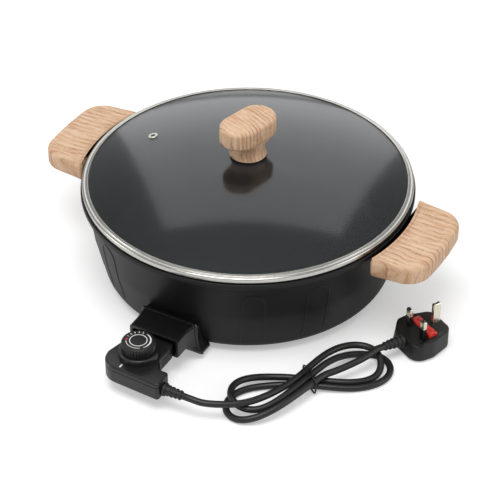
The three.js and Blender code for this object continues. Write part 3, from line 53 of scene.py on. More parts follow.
def linear(colour):
    """An sRGB hex colour as the linear values that Blender's sockets hold."""
    shares = [int(colour[start:start + 2], 16) / 255 for start in (1, 3, 5)]
    return [c / 12.92 if c <= 0.04045 else ((c + 0.055) / 1.055) ** 2.4 for c in shares] + [1.0]


def add(tree, kind, inputs, **settings):
    """Adds a node with its settings, and sets or links each of its inputs."""
    made = tree.nodes.new(kind)
    for name, value in settings.items():
        setattr(made, name, value)
    for key, value in inputs.items():
        if isinstance(value, bpy.types.NodeSocket):
            tree.links.new(value, made.inputs[key])
        else:
            made.inputs[key].default_value = value
    return made


def new_material(name):
    """A material with an empty tree but for its output."""
    material = bpy.data.materials.new(name)
    material.use_nodes = True
    tree = material.node_tree
    tree.nodes.clear()
    return material, tree, tree.nodes.new("ShaderNodeOutputMaterial")


def shown(name, data):
    """An object in the scene for a mesh, a curve, a lamp or a camera."""
    made = bpy.data.objects.new(name, data)
    bpy.context.scene.collection.objects.link(made)
    return made


def turn_outwards(mesh):
    whole = bmesh.new()
    whole.from_mesh(mesh)
    bmesh.ops.recalc_face_normals(whole, faces=whole.faces)
    whole.to_mesh(mesh)
    whole.free()


def mesh_of(name, points, faces, material, sharp_degrees=40, materials=None, face_materials=None):
    """A mesh object from points in millimetres above the table, with its faces turned outwards."""
    mesh = bpy.data.meshes.new(name)
    mesh.from_pydata([metres(point) for point in points], [], faces)
    piece = shown(name, mesh)
    for slot_material in materials or [material]:
        mesh.materials.append(slot_material)
    if face_materials:
        mesh.polygons.foreach_set("material_index", face_materials)
    turn_outwards(mesh)
    mesh.shade_smooth()
    mesh.set_sharp_from_angle(angle=math.radians(sharp_degrees))
    return piece


camera_place = Vector((0.7624, -1.3772, 1.2153))
camera_aim = Vector((0.00166, 0.00092, 0.0126))
camera_data = bpy.data.cameras.new("camera")
camera_data.lens = 144
camera_data.sensor_width = 36
camera_data.clip_end = 20
camera = shown("camera", camera_data)
camera.location = camera_place
camera.rotation_euler = (camera_aim - camera_place).to_track_quat("-Z", "Y").to_euler()
bpy.context.scene.camera = camera
bpy.context.scene.view_settings.view_transform = "Standard"

table_half = 3000
table_white = "#e6e6e6"
table_glow = 0.33

table_material, tree, output = new_material("white laminate table")
seen = add(tree, "ShaderNodeLightPath", {})
glow = add(tree, "ShaderNodeMath", {0: seen.outputs["Is Camera Ray"], 1: table_glow}, operation="MULTIPLY")
cloth = add(tree, "ShaderNodeBsdfDiffuse", {"Color": linear(table_white)})
lit = add(tree, "ShaderNodeEmission", {"Color": linear("#ffffff"), "Strength": glow.outputs[0]})
both = add(tree, "ShaderNodeAddShader", {0: cloth.outputs[0], 1: lit.outputs[0]})
tree.links.new(both.outputs[0], output.inputs["Surface"])
table_points = [(-table_half, -table_half, 0), (table_half, -table_half, 0),
                (table_half, table_half, 0), (-table_half, table_half, 0)]
table = mesh_of("table", table_points, [(0, 1, 2, 3)], table_material)

world = bpy.data.worlds.new("studio")
bpy.context.scene.world = world
world.use_nodes = True
tree = world.node_tree
tree.nodes.clear()
room_light = 0.5
mirrored_light = 0.38
seen = add(tree, "ShaderNodeLightPath", {})
mirrored = add(tree, "ShaderNodeMath",
               {0: seen.outputs["Is Glossy Ray"], 1: seen.outputs["Is Transmission Ray"]},
               operation="MAXIMUM")
strength = add(tree, "ShaderNodeMix", {0: mirrored.outputs[0], 2: room_light, 3: mirrored_light})
strength = add(tree, "ShaderNodeMix", {0: seen.outputs["Is Camera Ray"], 2: strength.outputs[0], 3: 1.0})
room = add(tree, "ShaderNodeBackground", {"Color": linear("#ffffff"), "Strength": strength.outputs[0]})
output = add(tree, "ShaderNodeOutputWorld", {"Surface": room.outputs[0]})

lamp_aim = Vector((0, 0, 0.05))


def soft_light(name, place, width, depth, watts):
    """A rectangular lamp with sides in metres, turned towards the middle of the pot."""
    data = bpy.data.lights.new(name, "AREA")
    data.shape = "RECTANGLE"
    data.size = width
    data.size_y = depth
    data.energy = watts
    lamp = shown(name, data)
    lamp.location = place
    lamp.rotation_euler = (lamp_aim - Vector(place)).to_track_quat("-Z", "Y").to_euler()


soft_light("overhead", (0.14, -0.67, 1.85), 1.2, 1.0, 21)
soft_light("back", (-0.8, 1.6, 1.2), 1.75, 2.5, 12)
soft_light("left", (-1.6, -0.9, 0.7), 0.7, 1.0, 6)
soft_light("right", (1.7, 0.2, 0.7), 0.7, 1.0, 5)

# Mains lead
# A round flex of three cores in black PVC, extruded with a smooth satin skin. It leaves the control, is
# wound one and a half times in a figure of eight and goes on to the plug.
flex_diameter = 6.5
hank_middle = Vector((140, -137))
hank_yaw = math.radians(51.5)
hank_half_length = 69.3
hank_growth = 7.2
hank_half_width = 20.7
hank_pitch = 7.1
pile_height = 7.3
table_gap = 0.05
waist_share = 1.29
lean_share = 0.073
round_share = 0.136
point_share = 0.061
hank_start = 0.465
hank_end = 4.46
hank_steps = 92
straight_diameters = 1.6
head_turn = math.radians(-4)
join_gap = 0.3
level_shares = [
    (0.3, 1.33), (0.6, 1.33), (0.88, 0.975), (0.95, 0.975), (1.17, 0), (1.5, 0.33), (1.62, 0.33),
    (1.93, 1.1), (1.98, 1.1), (2.2, 0.75), (2.42, 1.33), (2.57, 1.33), (2.85, 0), (3.3, 0),
    (3.5, 0.33), (3.7, 0), (4.05, 0), (4.42, 1.33), (4.8, 1.33),
]
relief_tip = Vector((57, -224.5, 21))
lead_points = [
    (75, -222.4, 19.2), (85.5, -217.8, 18.3), (96, -211.2, 17.4), (106, -203, 16.7),
    (113.2, -193.8, 16), (118.9, -183, 15.1), (123.2, -172.5, 14.3), (126.9, -160.8, 13.4),
]
tail_points = [
    (152.3, -127.6, 13.1), (157.2, -120.6, 13.4), (162.4, -112.8, 14), (167.6, -104.6, 14.9),
    (172.4, -96.2, 15.8), (176.4, -87.4, 16.7),
]
plug_place = Vector((201.3, -39.2, 0))
plug_yaw = math.radians(-29.9)
plug_cord_end = 16
plug_relief_tip = 37
plug_relief_rise = 1.3
plug_relief_height = 15.6


def smooth(share):
    share = min(max(share, 0), 1)
    return share * share * (3 - 2 * share)


def hank_height(half_turns):
    for (here, low), (there, high) in zip(level_shares, level_shares[1:]):
        if half_turns <= there:
            level = low + (high - low) * smooth((half_turns - here) / (there - here))
            break
    return flex_diameter / 2 + table_gap + pile_height * level


def hank_point(half_turns):
    angle = half_turns * math.pi
    turns = half_turns / 2
    middle = (hank_start + hank_end) / 4
    spread = waist_share + (1 - waist_share) * math.cos(angle) ** 2
    across = -hank_half_width * math.sin(2 * angle) * (1 + point_share * math.cos(2 * angle))
    across += hank_pitch * (middle - turns) * spread
    reach = hank_half_length + hank_growth * turns
    along = -reach * math.cos(angle) * (1 - round_share * math.sin(angle) ** 2) + lean_share * across
    flat = Matrix.Rotation(hank_yaw, 2) @ Vector((along, across)) + hank_middle
    return Vector((flat.x, flat.y, hank_height(half_turns)))


def hank_route():
    steps = [hank_start + (hank_end - hank_start) * i / hank_steps for i in range(hank_steps + 1)]
    points = [hank_point(step) for step in steps]
    straight = straight_diameters * flex_diameter

    def run_out(end, inner, turn):
        away = end - inner
        away.z = 0
        away = Matrix.Rotation(turn, 3, "Z") @ away.normalized()
        return [end + away * straight, end + away * straight / 2]

    head = run_out(points[0], points[1], head_turn)
    tail = run_out(points[-1], points[-2], 0)
    return head + points + tail[::-1]


def through(points, steps):
    """Points along a centripetal curve through the given ones."""
    first = points[0] * 2 - points[1]
    last = points[-1] * 2 - points[-2]
    knots = [first] + points + [last]
    route = []
    for a, b, c, d in zip(knots, knots[1:], knots[2:], knots[3:]):
        ab = (b - a).length ** 0.5
        bc = (c - b).length ** 0.5
        cd = (d - c).length ** 0.5
        out = ((b - a) / ab - (c - a) / (ab + bc) + (c - b) / bc) * bc
        into = ((c - b) / bc - (d - b) / (bc + cd) + (d - c) / cd) * bc
        for i in range(steps):
            t = i / steps
            route.append(b * (2 * t**3 - 3 * t**2 + 1) + out * (t**3 - 2 * t**2 + t)
                         + c * (3 * t**2 - 2 * t**3) + into * (t**3 - t**2))
    route.append(points[-1])
    return route


def lofted(rings):
    """Points and faces of a closed body through rings of equal counts."""
    count = len(rings[0])
    points = [point for ring in rings for point in ring]
    faces = []
    for i in range(len(rings) - 1):
        for k in range(count):
            here = i * count
            there = here + count
            faces.append((here + k, here + (k + 1) % count, there + (k + 1) % count, there + k))
    faces.append(tuple(reversed(range(count))))
    faces.append(tuple(range(len(points) - count, len(points))))
    return points, faces


def ring_round(centre, side, up, radius, sides):
    """A circle of points about a centre, in the plane of two directions."""
    angles = [2 * math.pi * k / sides for k in range(sides)]
    return [centre + (side * math.cos(angle) + up * math.sin(angle)) * radius for angle in angles]


def swept(route, radius, sides, guide):
    """A closed tube along a route. A guide direction sets how its first ring is turned."""
    rings = []
    for i, centre in enumerate(route):
        heading = (route[min(i + 1, len(route) - 1)] - route[max(i - 1, 0)]).normalized()
        side = heading.cross(guide).normalized()
        guide = side.cross(heading).normalized()
        rings.append(ring_round(centre, side, guide, radius, sides))
    return lofted(rings)


def on_plug(point):
    """A point in the plug's own frame, u along the line and neutral pins and v away from the cord."""
    return Matrix.Rotation(plug_yaw, 3, "Z") @ Vector(point) + plug_place


def flex_route():
    hank = hank_route()
    along = Vector((1, 0, 0))
    back = (hank[0] - hank[1]).normalized()
    on = (hank[-1] - hank[-2]).normalized()
    plug_tip = on_plug((0, -plug_relief_tip, plug_relief_height + plug_relief_rise))
    plug_root = on_plug((0, -plug_cord_end, plug_relief_height))
    out = (plug_tip - plug_root).normalized()
    lead = [relief_tip + along * join_gap, relief_tip + along * (join_gap + flex_diameter)]
    lead += [Vector(point) for point in lead_points]
    lead += [hank[0] + back * (join_gap + flex_diameter)]
    tail = [hank[-1] + on * (join_gap + flex_diameter)]
    tail += [Vector(point) for point in tail_points]
    tail += [plug_tip + out * (join_gap + flex_diameter), plug_tip + out * join_gap]
    inside = flex_diameter / 2
    return [relief_tip - along * inside] + through(lead + hank + tail, 4) + [plug_tip - out * inside]


def mottled_finish(name, drift, tones, shine, grain=None, dents=None, stretch=None, grain_shine=False,
                   **more):
    """A material whose tone and shine drift with one noise, and whose skin is dented by it or by a finer one.

    A noise is (spots in a metre, detail), dents are (strength, depth in metres), and a stretch gives the
    spots in a metre along each direction. A finish with one tone or one shine is even in it.
    """
    material, tree, output = new_material(name)
    place = add(tree, "ShaderNodeTexCoord", {}).outputs["Object"]
    if stretch:
        place = add(tree, "ShaderNodeMapping", {"Vector": place, "Scale": stretch}).outputs[0]
    noises = [add(tree, "ShaderNodeTexNoise",
                  {"Vector": place, "Scale": scale, "Detail": detail}).outputs["Fac"]
              for scale, detail in ([drift, grain] if grain else [drift])]
    cloud, bumps = noises[0], noises[-1]
    surface = {"Base Color": linear(tones[0]), "Roughness": shine[0], **more}
    if len(tones) == 2:
        tone = add(tree, "ShaderNodeMix", {0: cloud, 6: linear(tones[0]), 7: linear(tones[1])},
                   data_type="RGBA")
        surface["Base Color"] = tone.outputs[2]
    if len(shine) == 2:
        rough = add(tree, "ShaderNodeMapRange",
                    {"Value": bumps if grain_shine else cloud, "To Min": shine[0], "To Max": shine[1]})
        surface["Roughness"] = rough.outputs[0]
    if dents:
        bump = add(tree, "ShaderNodeBump", {"Height": bumps, "Strength": dents[0], "Distance": dents[1]})
        surface["Normal"] = bump.outputs[0]
    skin = add(tree, "ShaderNodeBsdfPrincipled", surface)
    tree.links.new(skin.outputs[0], output.inputs["Surface"])
    return material


# The skin of the flex is drawn smooth, with a faint orange peel about a millimetre across.
pvc_flex = mottled_finish("extruded PVC flex sleeve, black", drift=(60, 2), tones=("#191919", "#232323"),
                          shine=(0.34, 0.46), grain=(900, 2), dents=(0.12, 0.0002), IOR=1.5)

flex_sides = 20
flex_path = flex_route()
flex_tube = swept(flex_path, flex_diameter / 2, flex_sides, Vector((0, 0, 1)))
mains_lead = mesh_of("mains_lead", *flex_tube, pvc_flex)
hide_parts("cord_lead", "cord_hank", "cord_tail")
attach(mains_lead, "control")

# Twist tie
# A thin steel wire in a black plastic sleeve, bent once round the waist of the hank. Its two ends are
# twisted together and cut short.
tie_radius = 0.8
tie_half_width = 14.1
tie_low = 1.2
tie_high = 17.5
tie_corner = 5
tie_tail = 4
tie_tail_spacing = 2.6
tie_sides = 10
tie_spacing = 1.5


def rounded(corners, radii, steps=8):
    """A closed outline with its corners rounded, each to its own radius."""
    outline = []
    for i, (corner, radius) in enumerate(zip(corners, radii)):
        here = Vector(corner)
        if radius == 0:
            outline.append(here)
            continue
        back = (Vector(corners[i - 1]) - here).normalized()
        on = (Vector(corners[(i + 1) % len(corners)]) - here).normalized()
        half = math.acos(min(max(back.dot(on), -1), 1)) / 2
        middle = here + (back + on).normalized() * (radius / math.sin(half))
        start = here + back * (radius / math.tan(half)) - middle
        end = here + on * (radius / math.tan(half)) - middle
        first = math.atan2(start.y, start.x)
        sweep = (math.atan2(end.y, end.x) - first + math.pi) % (2 * math.pi) - math.pi
        for k in range(steps + 1):
            angle = first + sweep * k / steps
            outline.append(middle + Vector((math.cos(angle), math.sin(angle))) * radius)
    return outline


def even(points, spacing):
    """The same line with points at an even spacing, for a sweep without kinks."""
    route = [points[0]]
    for here, there in zip(points, points[1:]):
        count = max(1, round((there - here).length / spacing))
        route += [here.lerp(there, (k + 1) / count) for k in range(count)]
    return route


tie_line = rounded(
    [(-tie_tail_spacing / 2, tie_high), (-tie_half_width, tie_high), (-tie_half_width, tie_low),
     (tie_half_width, tie_low), (tie_half_width, tie_high), (tie_tail_spacing / 2, tie_high)],
    [0, tie_corner, tie_corner, tie_corner, tie_corner, 0], 10)
tie_start = Vector((-tie_tail_spacing / 2, tie_high + tie_tail))
tie_end = Vector((tie_tail_spacing / 2, tie_high + tie_tail))
tie_turn = Matrix.Rotation(hank_yaw, 3, "Z")
tie_route = []
for spot_across, spot_height in [tie_start, *tie_line, tie_end]:
    placed = tie_turn @ Vector((0, spot_across, 0))
    tie_route.append(Vector((placed.x + hank_middle.x, placed.y + hank_middle.y, spot_height)))

# A hard sleeve, a little shinier than the flex, with shallow kinks from the bending.
tie_sleeve = mottled_finish("plastic-sleeved tie wire, black", drift=(400, 1), tones=["#151515"],
                            shine=(0.25, 0.4), dents=(0.3, 0.0003), IOR=1.5)

tie_tube = swept(even(tie_route, tie_spacing), tie_radius, tie_sides, tie_turn @ Vector((1, 0, 0)))
hank_tie = mesh_of("hank_tie", *tie_tube, tie_sleeve)
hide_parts("twist_tie")
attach(hank_tie, "control")

# Mains plug
# A moulded three-pin plug in black PVC, lying on its back with its pins up. Its face has a soft edge, a flat
# flank falls to the flex, and a ribbed sleeve takes the flex out.
plug_face = 22
plug_low = 0.2
plug_half_width = 23.4
plug_cord_half_width = 21.5
plug_cord_corner = 13
plug_earth_half_width = 15.8
plug_earth_end = 29.4
plug_shoulder = 5
plug_corner = 9
plug_face_edge = 1.2
plug_back_edge = 4
plug_flank_drop = 4.5
plug_flank_depth = 5.5
plug_flank_fade = 9
plug_flank_offset = 9
plug_edge_steps = 7
flat_band = 0.4


def inset(outline, distance):
    """The outline moved in by a distance, point by point. It runs anticlockwise."""
    moved = []
    for i, point in enumerate(outline):
        into = (point - outline[i - 1]).normalized()
        on = (outline[(i + 1) % len(outline)] - point).normalized()
        inward = Vector((-into.y - on.y, into.x + on.x)).normalized()
        reach = distance / max(inward.dot(Vector((-into.y, into.x))), 0.5)
        moved.append(point + inward * reach)
    return moved


def upright(outline, levels):
    """Rings of an outline at each (height, inset)."""
    return [[Vector((p.x, p.y, height)) for p in inset(outline, distance)] for height, distance in levels]


def lower_edge(low, edge, steps):
    """(height, inset) up a rounded lower edge."""
    angles = [math.pi / 2 * k / steps for k in range(steps + 1)]
    return [(low + edge * (1 - math.cos(angle)), edge * (1 - math.sin(angle))) for angle in angles]


def upper_edge(high, edge, steps):
    """(height, inset) up a rounded upper edge."""
    angles = [math.pi / 2 * k / steps for k in range(steps + 1)]
    return [(high - edge * (1 - math.sin(angle)), edge * (1 - math.cos(angle))) for angle in angles]


def turned(profile, sides):
    """A body turned about the upright axis from a closed profile of (radius, height)."""
    points = []
    rows = []
    for radius, height in profile:
        if radius == 0:
            rows.append([len(points)] * sides)
            points.append(Vector((0, 0, height)))
            continue
        rows.append(list(range(len(points), len(points) + sides)))
        for k in range(sides):
            angle = 2 * math.pi * k / sides
            points.append(Vector((radius * math.cos(angle), radius * math.sin(angle), height)))
    faces = []
    for row, above in zip(rows, rows[1:] + rows[:1]):
        if row[0] == row[1] and above[0] == above[1]:
            continue
        for k in range(sides):
            face = [row[k], row[(k + 1) % sides], above[(k + 1) % sides], above[k]]
            faces.append(tuple(dict.fromkeys(face)))
    return points, faces


def boolean(piece, tool, operation):
    """The piece with another closed body cut from it or joined to it, as a plain mesh."""
    change = piece.modifiers.new("cut", "BOOLEAN")
    change.operation = operation
    change.object = tool
    change.solver = "EXACT"
    graph = bpy.context.evaluated_depsgraph_get()
    made = bpy.data.meshes.new_from_object(piece.evaluated_get(graph))
    piece.modifiers.remove(change)
    piece.data = made
    bpy.data.objects.remove(tool)


def cut(piece, *tools):
    for tool in tools:
        boolean(piece, tool, "DIFFERENCE")


def sharpened(piece, degrees=35):
    piece.data.shade_smooth()
    piece.data.set_sharp_from_angle(angle=math.radians(degrees))
    return piece


def box_of(name, low, high, material):
    """A plain block, used only to cut other pieces."""
    points = [(x, y, z) for x in (low[0], high[0]) for y in (low[1], high[1]) for z in (low[2], high[2])]
    faces = [(0, 1, 3, 2), (4, 6, 7, 5), (0, 4, 5, 1), (2, 3, 7, 6), (0, 2, 6, 4), (1, 5, 7, 3)]
    return mesh_of(name, points, faces, material)


# Injection moulding leaves a satin skin with a fine spark texture, drawn coarser than life so that it shows.
plug_pvc = mottled_finish("moulded PVC plug body, black", drift=(45, 2), tones=("#121212", "#191919"),
                          shine=(0.36, 0.5), grain=(1400, 3), dents=(0.15, 0.0002), IOR=1.5)

plug_outline = rounded(
    [(-plug_cord_half_width, -plug_cord_end), (plug_cord_half_width, -plug_cord_end),
     (plug_half_width, plug_shoulder), (plug_earth_half_width, plug_earth_end),
     (-plug_earth_half_width, plug_earth_end), (-plug_half_width, plug_shoulder)],
    [plug_cord_corner, plug_cord_corner, plug_corner * 2, plug_corner, plug_corner, plug_corner * 2], 14)
plug_levels = [(plug_low, plug_back_edge + flat_band)]
plug_levels += lower_edge(plug_low, plug_back_edge, plug_edge_steps)
plug_levels += upper_edge(plug_face, plug_face_edge, plug_edge_steps)
plug_levels.append((plug_face, plug_face_edge + flat_band))


def plug_shaped(point):
    """Lets the flank at the cord end fall away below the face."""
    share = smooth((plug_shoulder - plug_flank_offset - point.y) / plug_flank_fade)
    lean = smooth((point.z - (plug_face - plug_flank_drop * 2)) / (plug_flank_drop * 2))
    return on_plug((point.x, point.y + plug_flank_depth * share * lean * 0.5,
                    point.z - plug_flank_drop * share * lean))


plug_rings = [[plug_shaped(point) for point in ring] for ring in upright(plug_outline, plug_levels)]
plug_body = mesh_of("plug_moulding", *lofted(plug_rings), plug_pvc, 30)

pin_offset = 11.1
pin_half_width = 3.175
pin_half_thickness = 1.975
pin_reach = 17.7
pin_root = 9
pin_taper = 1.2
pin_gap = 0.3
sleeve_reach = 9.5
earth_pin_v = 22.2
earth_pin_half_width = 1.975
earth_pin_half_height = 3.95
earth_pin_reach = 22.7
fuse_v = 9.6
fuse_radius = 3.15
fuse_half_length = 12.7
carrier_half_length = 15.4
carrier_half_width = 4.6
carrier_waist = 3.6
carrier_top = 2
carrier_proud = 0.6
carrier_depth = 8.6
carrier_corner = 1.2
carrier_ease = 2.5
carrier_waist_round = 6
pin_hole_corner = 0.5
cutter_clear = 5


def rectangle(u, v, half_u, half_v, corner, steps=5):
    corners = [(u - half_u, v - half_v), (u + half_u, v - half_v),
               (u + half_u, v + half_v), (u - half_u, v + half_v)]
    return rounded(corners, [corner] * 4, steps)


def plug_piece(name, rings, material, degrees=35, **more):
    """A closed body through rings in the plug's own frame."""
    placed = [[on_plug(point) for point in ring] for ring in rings]
    return mesh_of(name, *lofted(placed), material, degrees, **more)


def plug_cut(piece, outline, low, high, spread=0):
    """Cuts an upright hole of one outline, between two heights, from a piece of the plug."""
    rings = upright(outline, [(low, -spread), (high, -spread)])
    cut(piece, plug_piece("cutter", rings, piece.data.materials[0]))


for u, v, half_u, half_v in [(-pin_offset, 0, pin_half_width, pin_half_thickness),
                             (pin_offset, 0, pin_half_width, pin_half_thickness),
                             (0, earth_pin_v, earth_pin_half_width, earth_pin_half_height)]:
    hole = rectangle(u, v, half_u + pin_gap, half_v + pin_gap, pin_hole_corner)
    plug_cut(plug_body, hole, pin_root, plug_face + cutter_clear)
carrier_side = [(-carrier_half_length, -carrier_half_width), (-carrier_half_length / 2, -carrier_half_width),
                (0, -carrier_waist), (carrier_half_length / 2, -carrier_half_width),
                (carrier_half_length, -carrier_half_width)]
carrier_radii = [carrier_corner, carrier_ease, carrier_waist_round, carrier_ease, carrier_corner]
carrier_outline = rounded([(x * turn, fuse_v + y * turn) for turn in (1, -1) for x, y in carrier_side],
                          carrier_radii * 2, 5)
plug_cut(plug_body, carrier_outline, plug_face - carrier_depth - pin_gap, plug_face + cutter_clear, pin_gap)
sharpened(plug_body, 30)
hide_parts("plug_body")
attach(plug_body, "control")

# Plug pins
# Cold-headed brass, nickel plated, pressed into the moulding before it is filled. The line and neutral pins
# have a black sleeve over the half next to the face, and the earth pin is longer and bare.
# Bright plating with fine draw lines along the pin, about a third of a millimetre apart.
pin_plate = mottled_finish("nickel-plated brass, drawn", drift=(1, 2), stretch=(3000, 3000, 60),
                           tones=("#d9d2bd", "#f0ebdc"), shine=(0.16, 0.34), dents=(0.1, 0.0001),
                           Metallic=1.0)

# A hard moulded sleeve with a low gloss and a slight flow mark.
pin_sleeve = mottled_finish("nylon pin sleeve, black", drift=(300, 2), tones=["#101010"], shine=(0.3, 0.42),
                            IOR=1.5)

pin_corner = 0.45
pin_tip_flat = 0.15
sleeve_step = 0.12
sleeve_step_rise = 0.05


def pin_piece(name, node, u, v, half_u, half_v, reach, sleeved):
    """A pin with a tapered tip. A sleeve ends in a small step, and the first row of faces is its own."""
    outline = rectangle(u, v, half_u, half_v, pin_corner)
    top = plug_face + reach
    levels = [(pin_root, 0)]
    if sleeved:
        levels += [(plug_face + sleeve_reach, 0), (plug_face + sleeve_reach + sleeve_step_rise, sleeve_step)]
    levels += [(top - pin_taper, sleeve_step if sleeved else 0), (top - pin_taper / 3, pin_taper * 0.45),
               (top, pin_taper), (top, pin_taper + pin_tip_flat)]
    rows = len(levels) - 1
    face_materials = [1 if sleeved and i == 0 else 0 for i in range(rows) for k in outline] + [0, 0]
    piece = plug_piece(name, upright(outline, levels), pin_plate, 35, materials=[pin_plate, pin_sleeve],
                       face_materials=face_materials)
    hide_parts(node)
    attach(piece, "control")
    return piece


for name, node, u in (("neutral_blade", "neutral_pin", -pin_offset), ("live_blade", "live_pin", pin_offset)):
    pin_piece(name, node, u, 0, pin_half_width, pin_half_thickness, pin_reach, True)
pin_piece("earth_blade", "earth_pin", 0, earth_pin_v, earth_pin_half_width,
                             earth_pin_half_height, earth_pin_reach, False)

# Fuse carrier and fuse
# A red polycarbonate drawer, waisted like a bow tie, pressed flush into the plug's face. It bridges a ceramic
# fuse and is prised out by the notch at its end.
# Clear gloss over a strong red, a little darker where the moulding is thick.
carrier_red = mottled_finish("polycarbonate fuse carrier, red", drift=(220, 2), tones=("#c62a26", "#dd3f38"),
                             shine=(0.22, 0.34), IOR=1.58)

carrier_edge = 0.5
carrier_edge_flat = 0.3
fuse_room_beyond = 3
fuse_room_below = 2
fuse_room_corner = 0.6
prise_notch_offset = 1
prise_notch_half_length = 2.4
prise_notch_half_width = 1.7
prise_notch_corner = 1.2
prise_notch_depth = 1.2
face_groove_end = 4.5
face_groove_half_width = 0.45
face_groove_corner = 0.3
face_groove_depth = 0.5
face_cut_clear = 3
carrier_face = plug_face + carrier_proud
carrier_levels = [(plug_face - carrier_depth, 0), (carrier_face - carrier_edge, 0),
                  (carrier_face - carrier_edge * 0.3, carrier_edge * 0.3), (carrier_face, carrier_edge),
                  (carrier_face, carrier_edge + carrier_edge_flat)]
fuse_drawer = plug_piece("fuse_drawer_piece", upright(carrier_outline, carrier_levels), carrier_red)
fuse_room = rectangle(0, fuse_v, fuse_half_length + pin_gap, carrier_half_width + fuse_room_beyond,
                      fuse_room_corner)
plug_cut(fuse_drawer, fuse_room, plug_face - carrier_depth - fuse_room_below, plug_face - carrier_top)
prise_notch = rectangle(carrier_half_length + prise_notch_offset, fuse_v, prise_notch_half_length,
                        prise_notch_half_width, prise_notch_corner)
plug_cut(fuse_drawer, prise_notch, plug_face - prise_notch_depth, plug_face + face_cut_clear)
face_groove = rectangle(0, fuse_v, carrier_half_length - face_groove_end, face_groove_half_width,
                        face_groove_corner)
plug_cut(fuse_drawer, face_groove, carrier_face - face_groove_depth, plug_face + face_cut_clear)
sharpened(fuse_drawer, 32)
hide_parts("fuse_carrier")
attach(fuse_drawer, "fuse_drawer")

# A pale glazed tube, with a bright metal cap over the last quarter at each end.
fuse_ceramic = mottled_finish("glazed ceramic fuse with plated caps", drift=(500, 2),
                              tones=("#d8d2c4", "#ece7dc"), shine=[0.3], IOR=1.5)

fuse_height = plug_face - carrier_top - pin_gap - fuse_radius
fuse_cap_share = 0.25
fuse_cap_proud = 0.3
fuse_edge = 0.5
fuse_sides = 28
fuse_cap_end = fuse_half_length * (1 - fuse_cap_share * 2)
fuse_profile = [(-fuse_half_length, fuse_radius - fuse_edge), (-fuse_half_length + fuse_edge, fuse_radius),
                (-fuse_cap_end, fuse_radius), (-fuse_cap_end, fuse_radius - fuse_cap_proud)]
fuse_profile += [(-along, radius) for along, radius in reversed(fuse_profile)]
fuse_rings = [ring_round(Vector((along, fuse_v, fuse_height)), Vector((0, 1, 0)), Vector((0, 0, 1)), radius,
                         fuse_sides) for along, radius in fuse_profile]
fuse_rows = len(fuse_rings) - 1
fuse_body = plug_piece("fuse_link", fuse_rings, fuse_ceramic, 30, materials=[fuse_ceramic, pin_plate],
                       face_materials=[0 if i == fuse_rows // 2 else 1 for i in range(fuse_rows)
                                       for k in range(fuse_sides)] + [1, 1])
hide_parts("fuse")
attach(fuse_body, "fuse_drawer")

# Strain reliefs
# Soft PVC sleeves moulded on the flex, ribbed so that they bend in a long curve. One stands in the end of the
# control's arm and the other in the cord end of the plug.
relief_root_radius = 6.4
relief_tip_radius = 4.6
relief_collar = 3
relief_ribs = 4
relief_rib_depth = 1.1
arm_right = 37
plug_relief_root_radius = 6
plug_relief_tip_radius = 4.3
plug_relief_ribs = 5
plug_relief_sunk = 1.5
relief_sides = 32
relief_edge = 0.6


def interface(tree, name, kind, value=None, direction="INPUT"):
    made = tree.interface.new_socket(name=name, in_out=direction, socket_type=kind)
    if value is not None:
        made.default_value = value
    return made


def copies_on(tree, given, name, spots, placing):
    """Ends a tree with copies of its named piece on the spots, made real and given their material."""
    copies = add(tree, "GeometryNodeInstanceOnPoints",
                 {"Points": spots.outputs[0], "Instance": given[name], **placing})
    real = add(tree, "GeometryNodeRealizeInstances", {"Geometry": copies.outputs[0]})
    coated = add(tree, "GeometryNodeSetMaterial",
                 {"Geometry": real.outputs[0], "Material": given["Material"]})
    add(tree, "NodeGroupOutput", {"Geometry": coated.outputs[0]})
    return tree


def rib_row_tree():
    """Copies of one rib in a straight row, each a little smaller than the last."""
    tree = bpy.data.node_groups.new("ribs in a row", "GeometryNodeTree")
    interface(tree, "Rib", "NodeSocketGeometry")
    interface(tree, "Count", "NodeSocketInt", 5)
    interface(tree, "Start", "NodeSocketVector")
    interface(tree, "Step", "NodeSocketVector")
    interface(tree, "Last Scale", "NodeSocketFloat", 1.0)
    interface(tree, "Material", "NodeSocketMaterial")
    interface(tree, "Geometry", "NodeSocketGeometry", direction="OUTPUT")
    given = tree.nodes.new("NodeGroupInput").outputs
    index = tree.nodes.new("GeometryNodeInputIndex")
    last = add(tree, "ShaderNodeMath", {0: given["Count"], 1: 1.0}, operation="SUBTRACT")
    share = add(tree, "ShaderNodeMath", {0: index.outputs[0], 1: last.outputs[0]}, operation="DIVIDE")
    size = add(tree, "ShaderNodeMapRange",
               {"Value": share.outputs[0], "To Min": 1.0, "To Max": given["Last Scale"]})
    away = add(tree, "ShaderNodeVectorMath", {0: given["Step"], 3: index.outputs[0]}, operation="SCALE")
    place = add(tree, "ShaderNodeVectorMath", {0: given["Start"], 1: away.outputs[0]}, operation="ADD")
    spots = add(tree, "GeometryNodePoints", {"Count": given["Count"], "Position": place.outputs[0]})
    return copies_on(tree, given, "Rib", spots, {"Scale": size.outputs[0]})


def grown(piece, tree, **sizes):
    """The piece after a Geometry Nodes tree, as a plain mesh."""
    change = piece.modifiers.new("grow", "NODES")
    change.node_group = tree
    for item in tree.interface.items_tree:
        key = item.name.lower().replace(" ", "_")
        if item.in_out == "INPUT" and key in sizes:
            change[item.identifier] = sizes[key]
    graph = bpy.context.evaluated_depsgraph_get()
    made = bpy.data.meshes.new_from_object(piece.evaluated_get(graph))
    piece.modifiers.remove(change)
    piece.data = made
    return piece


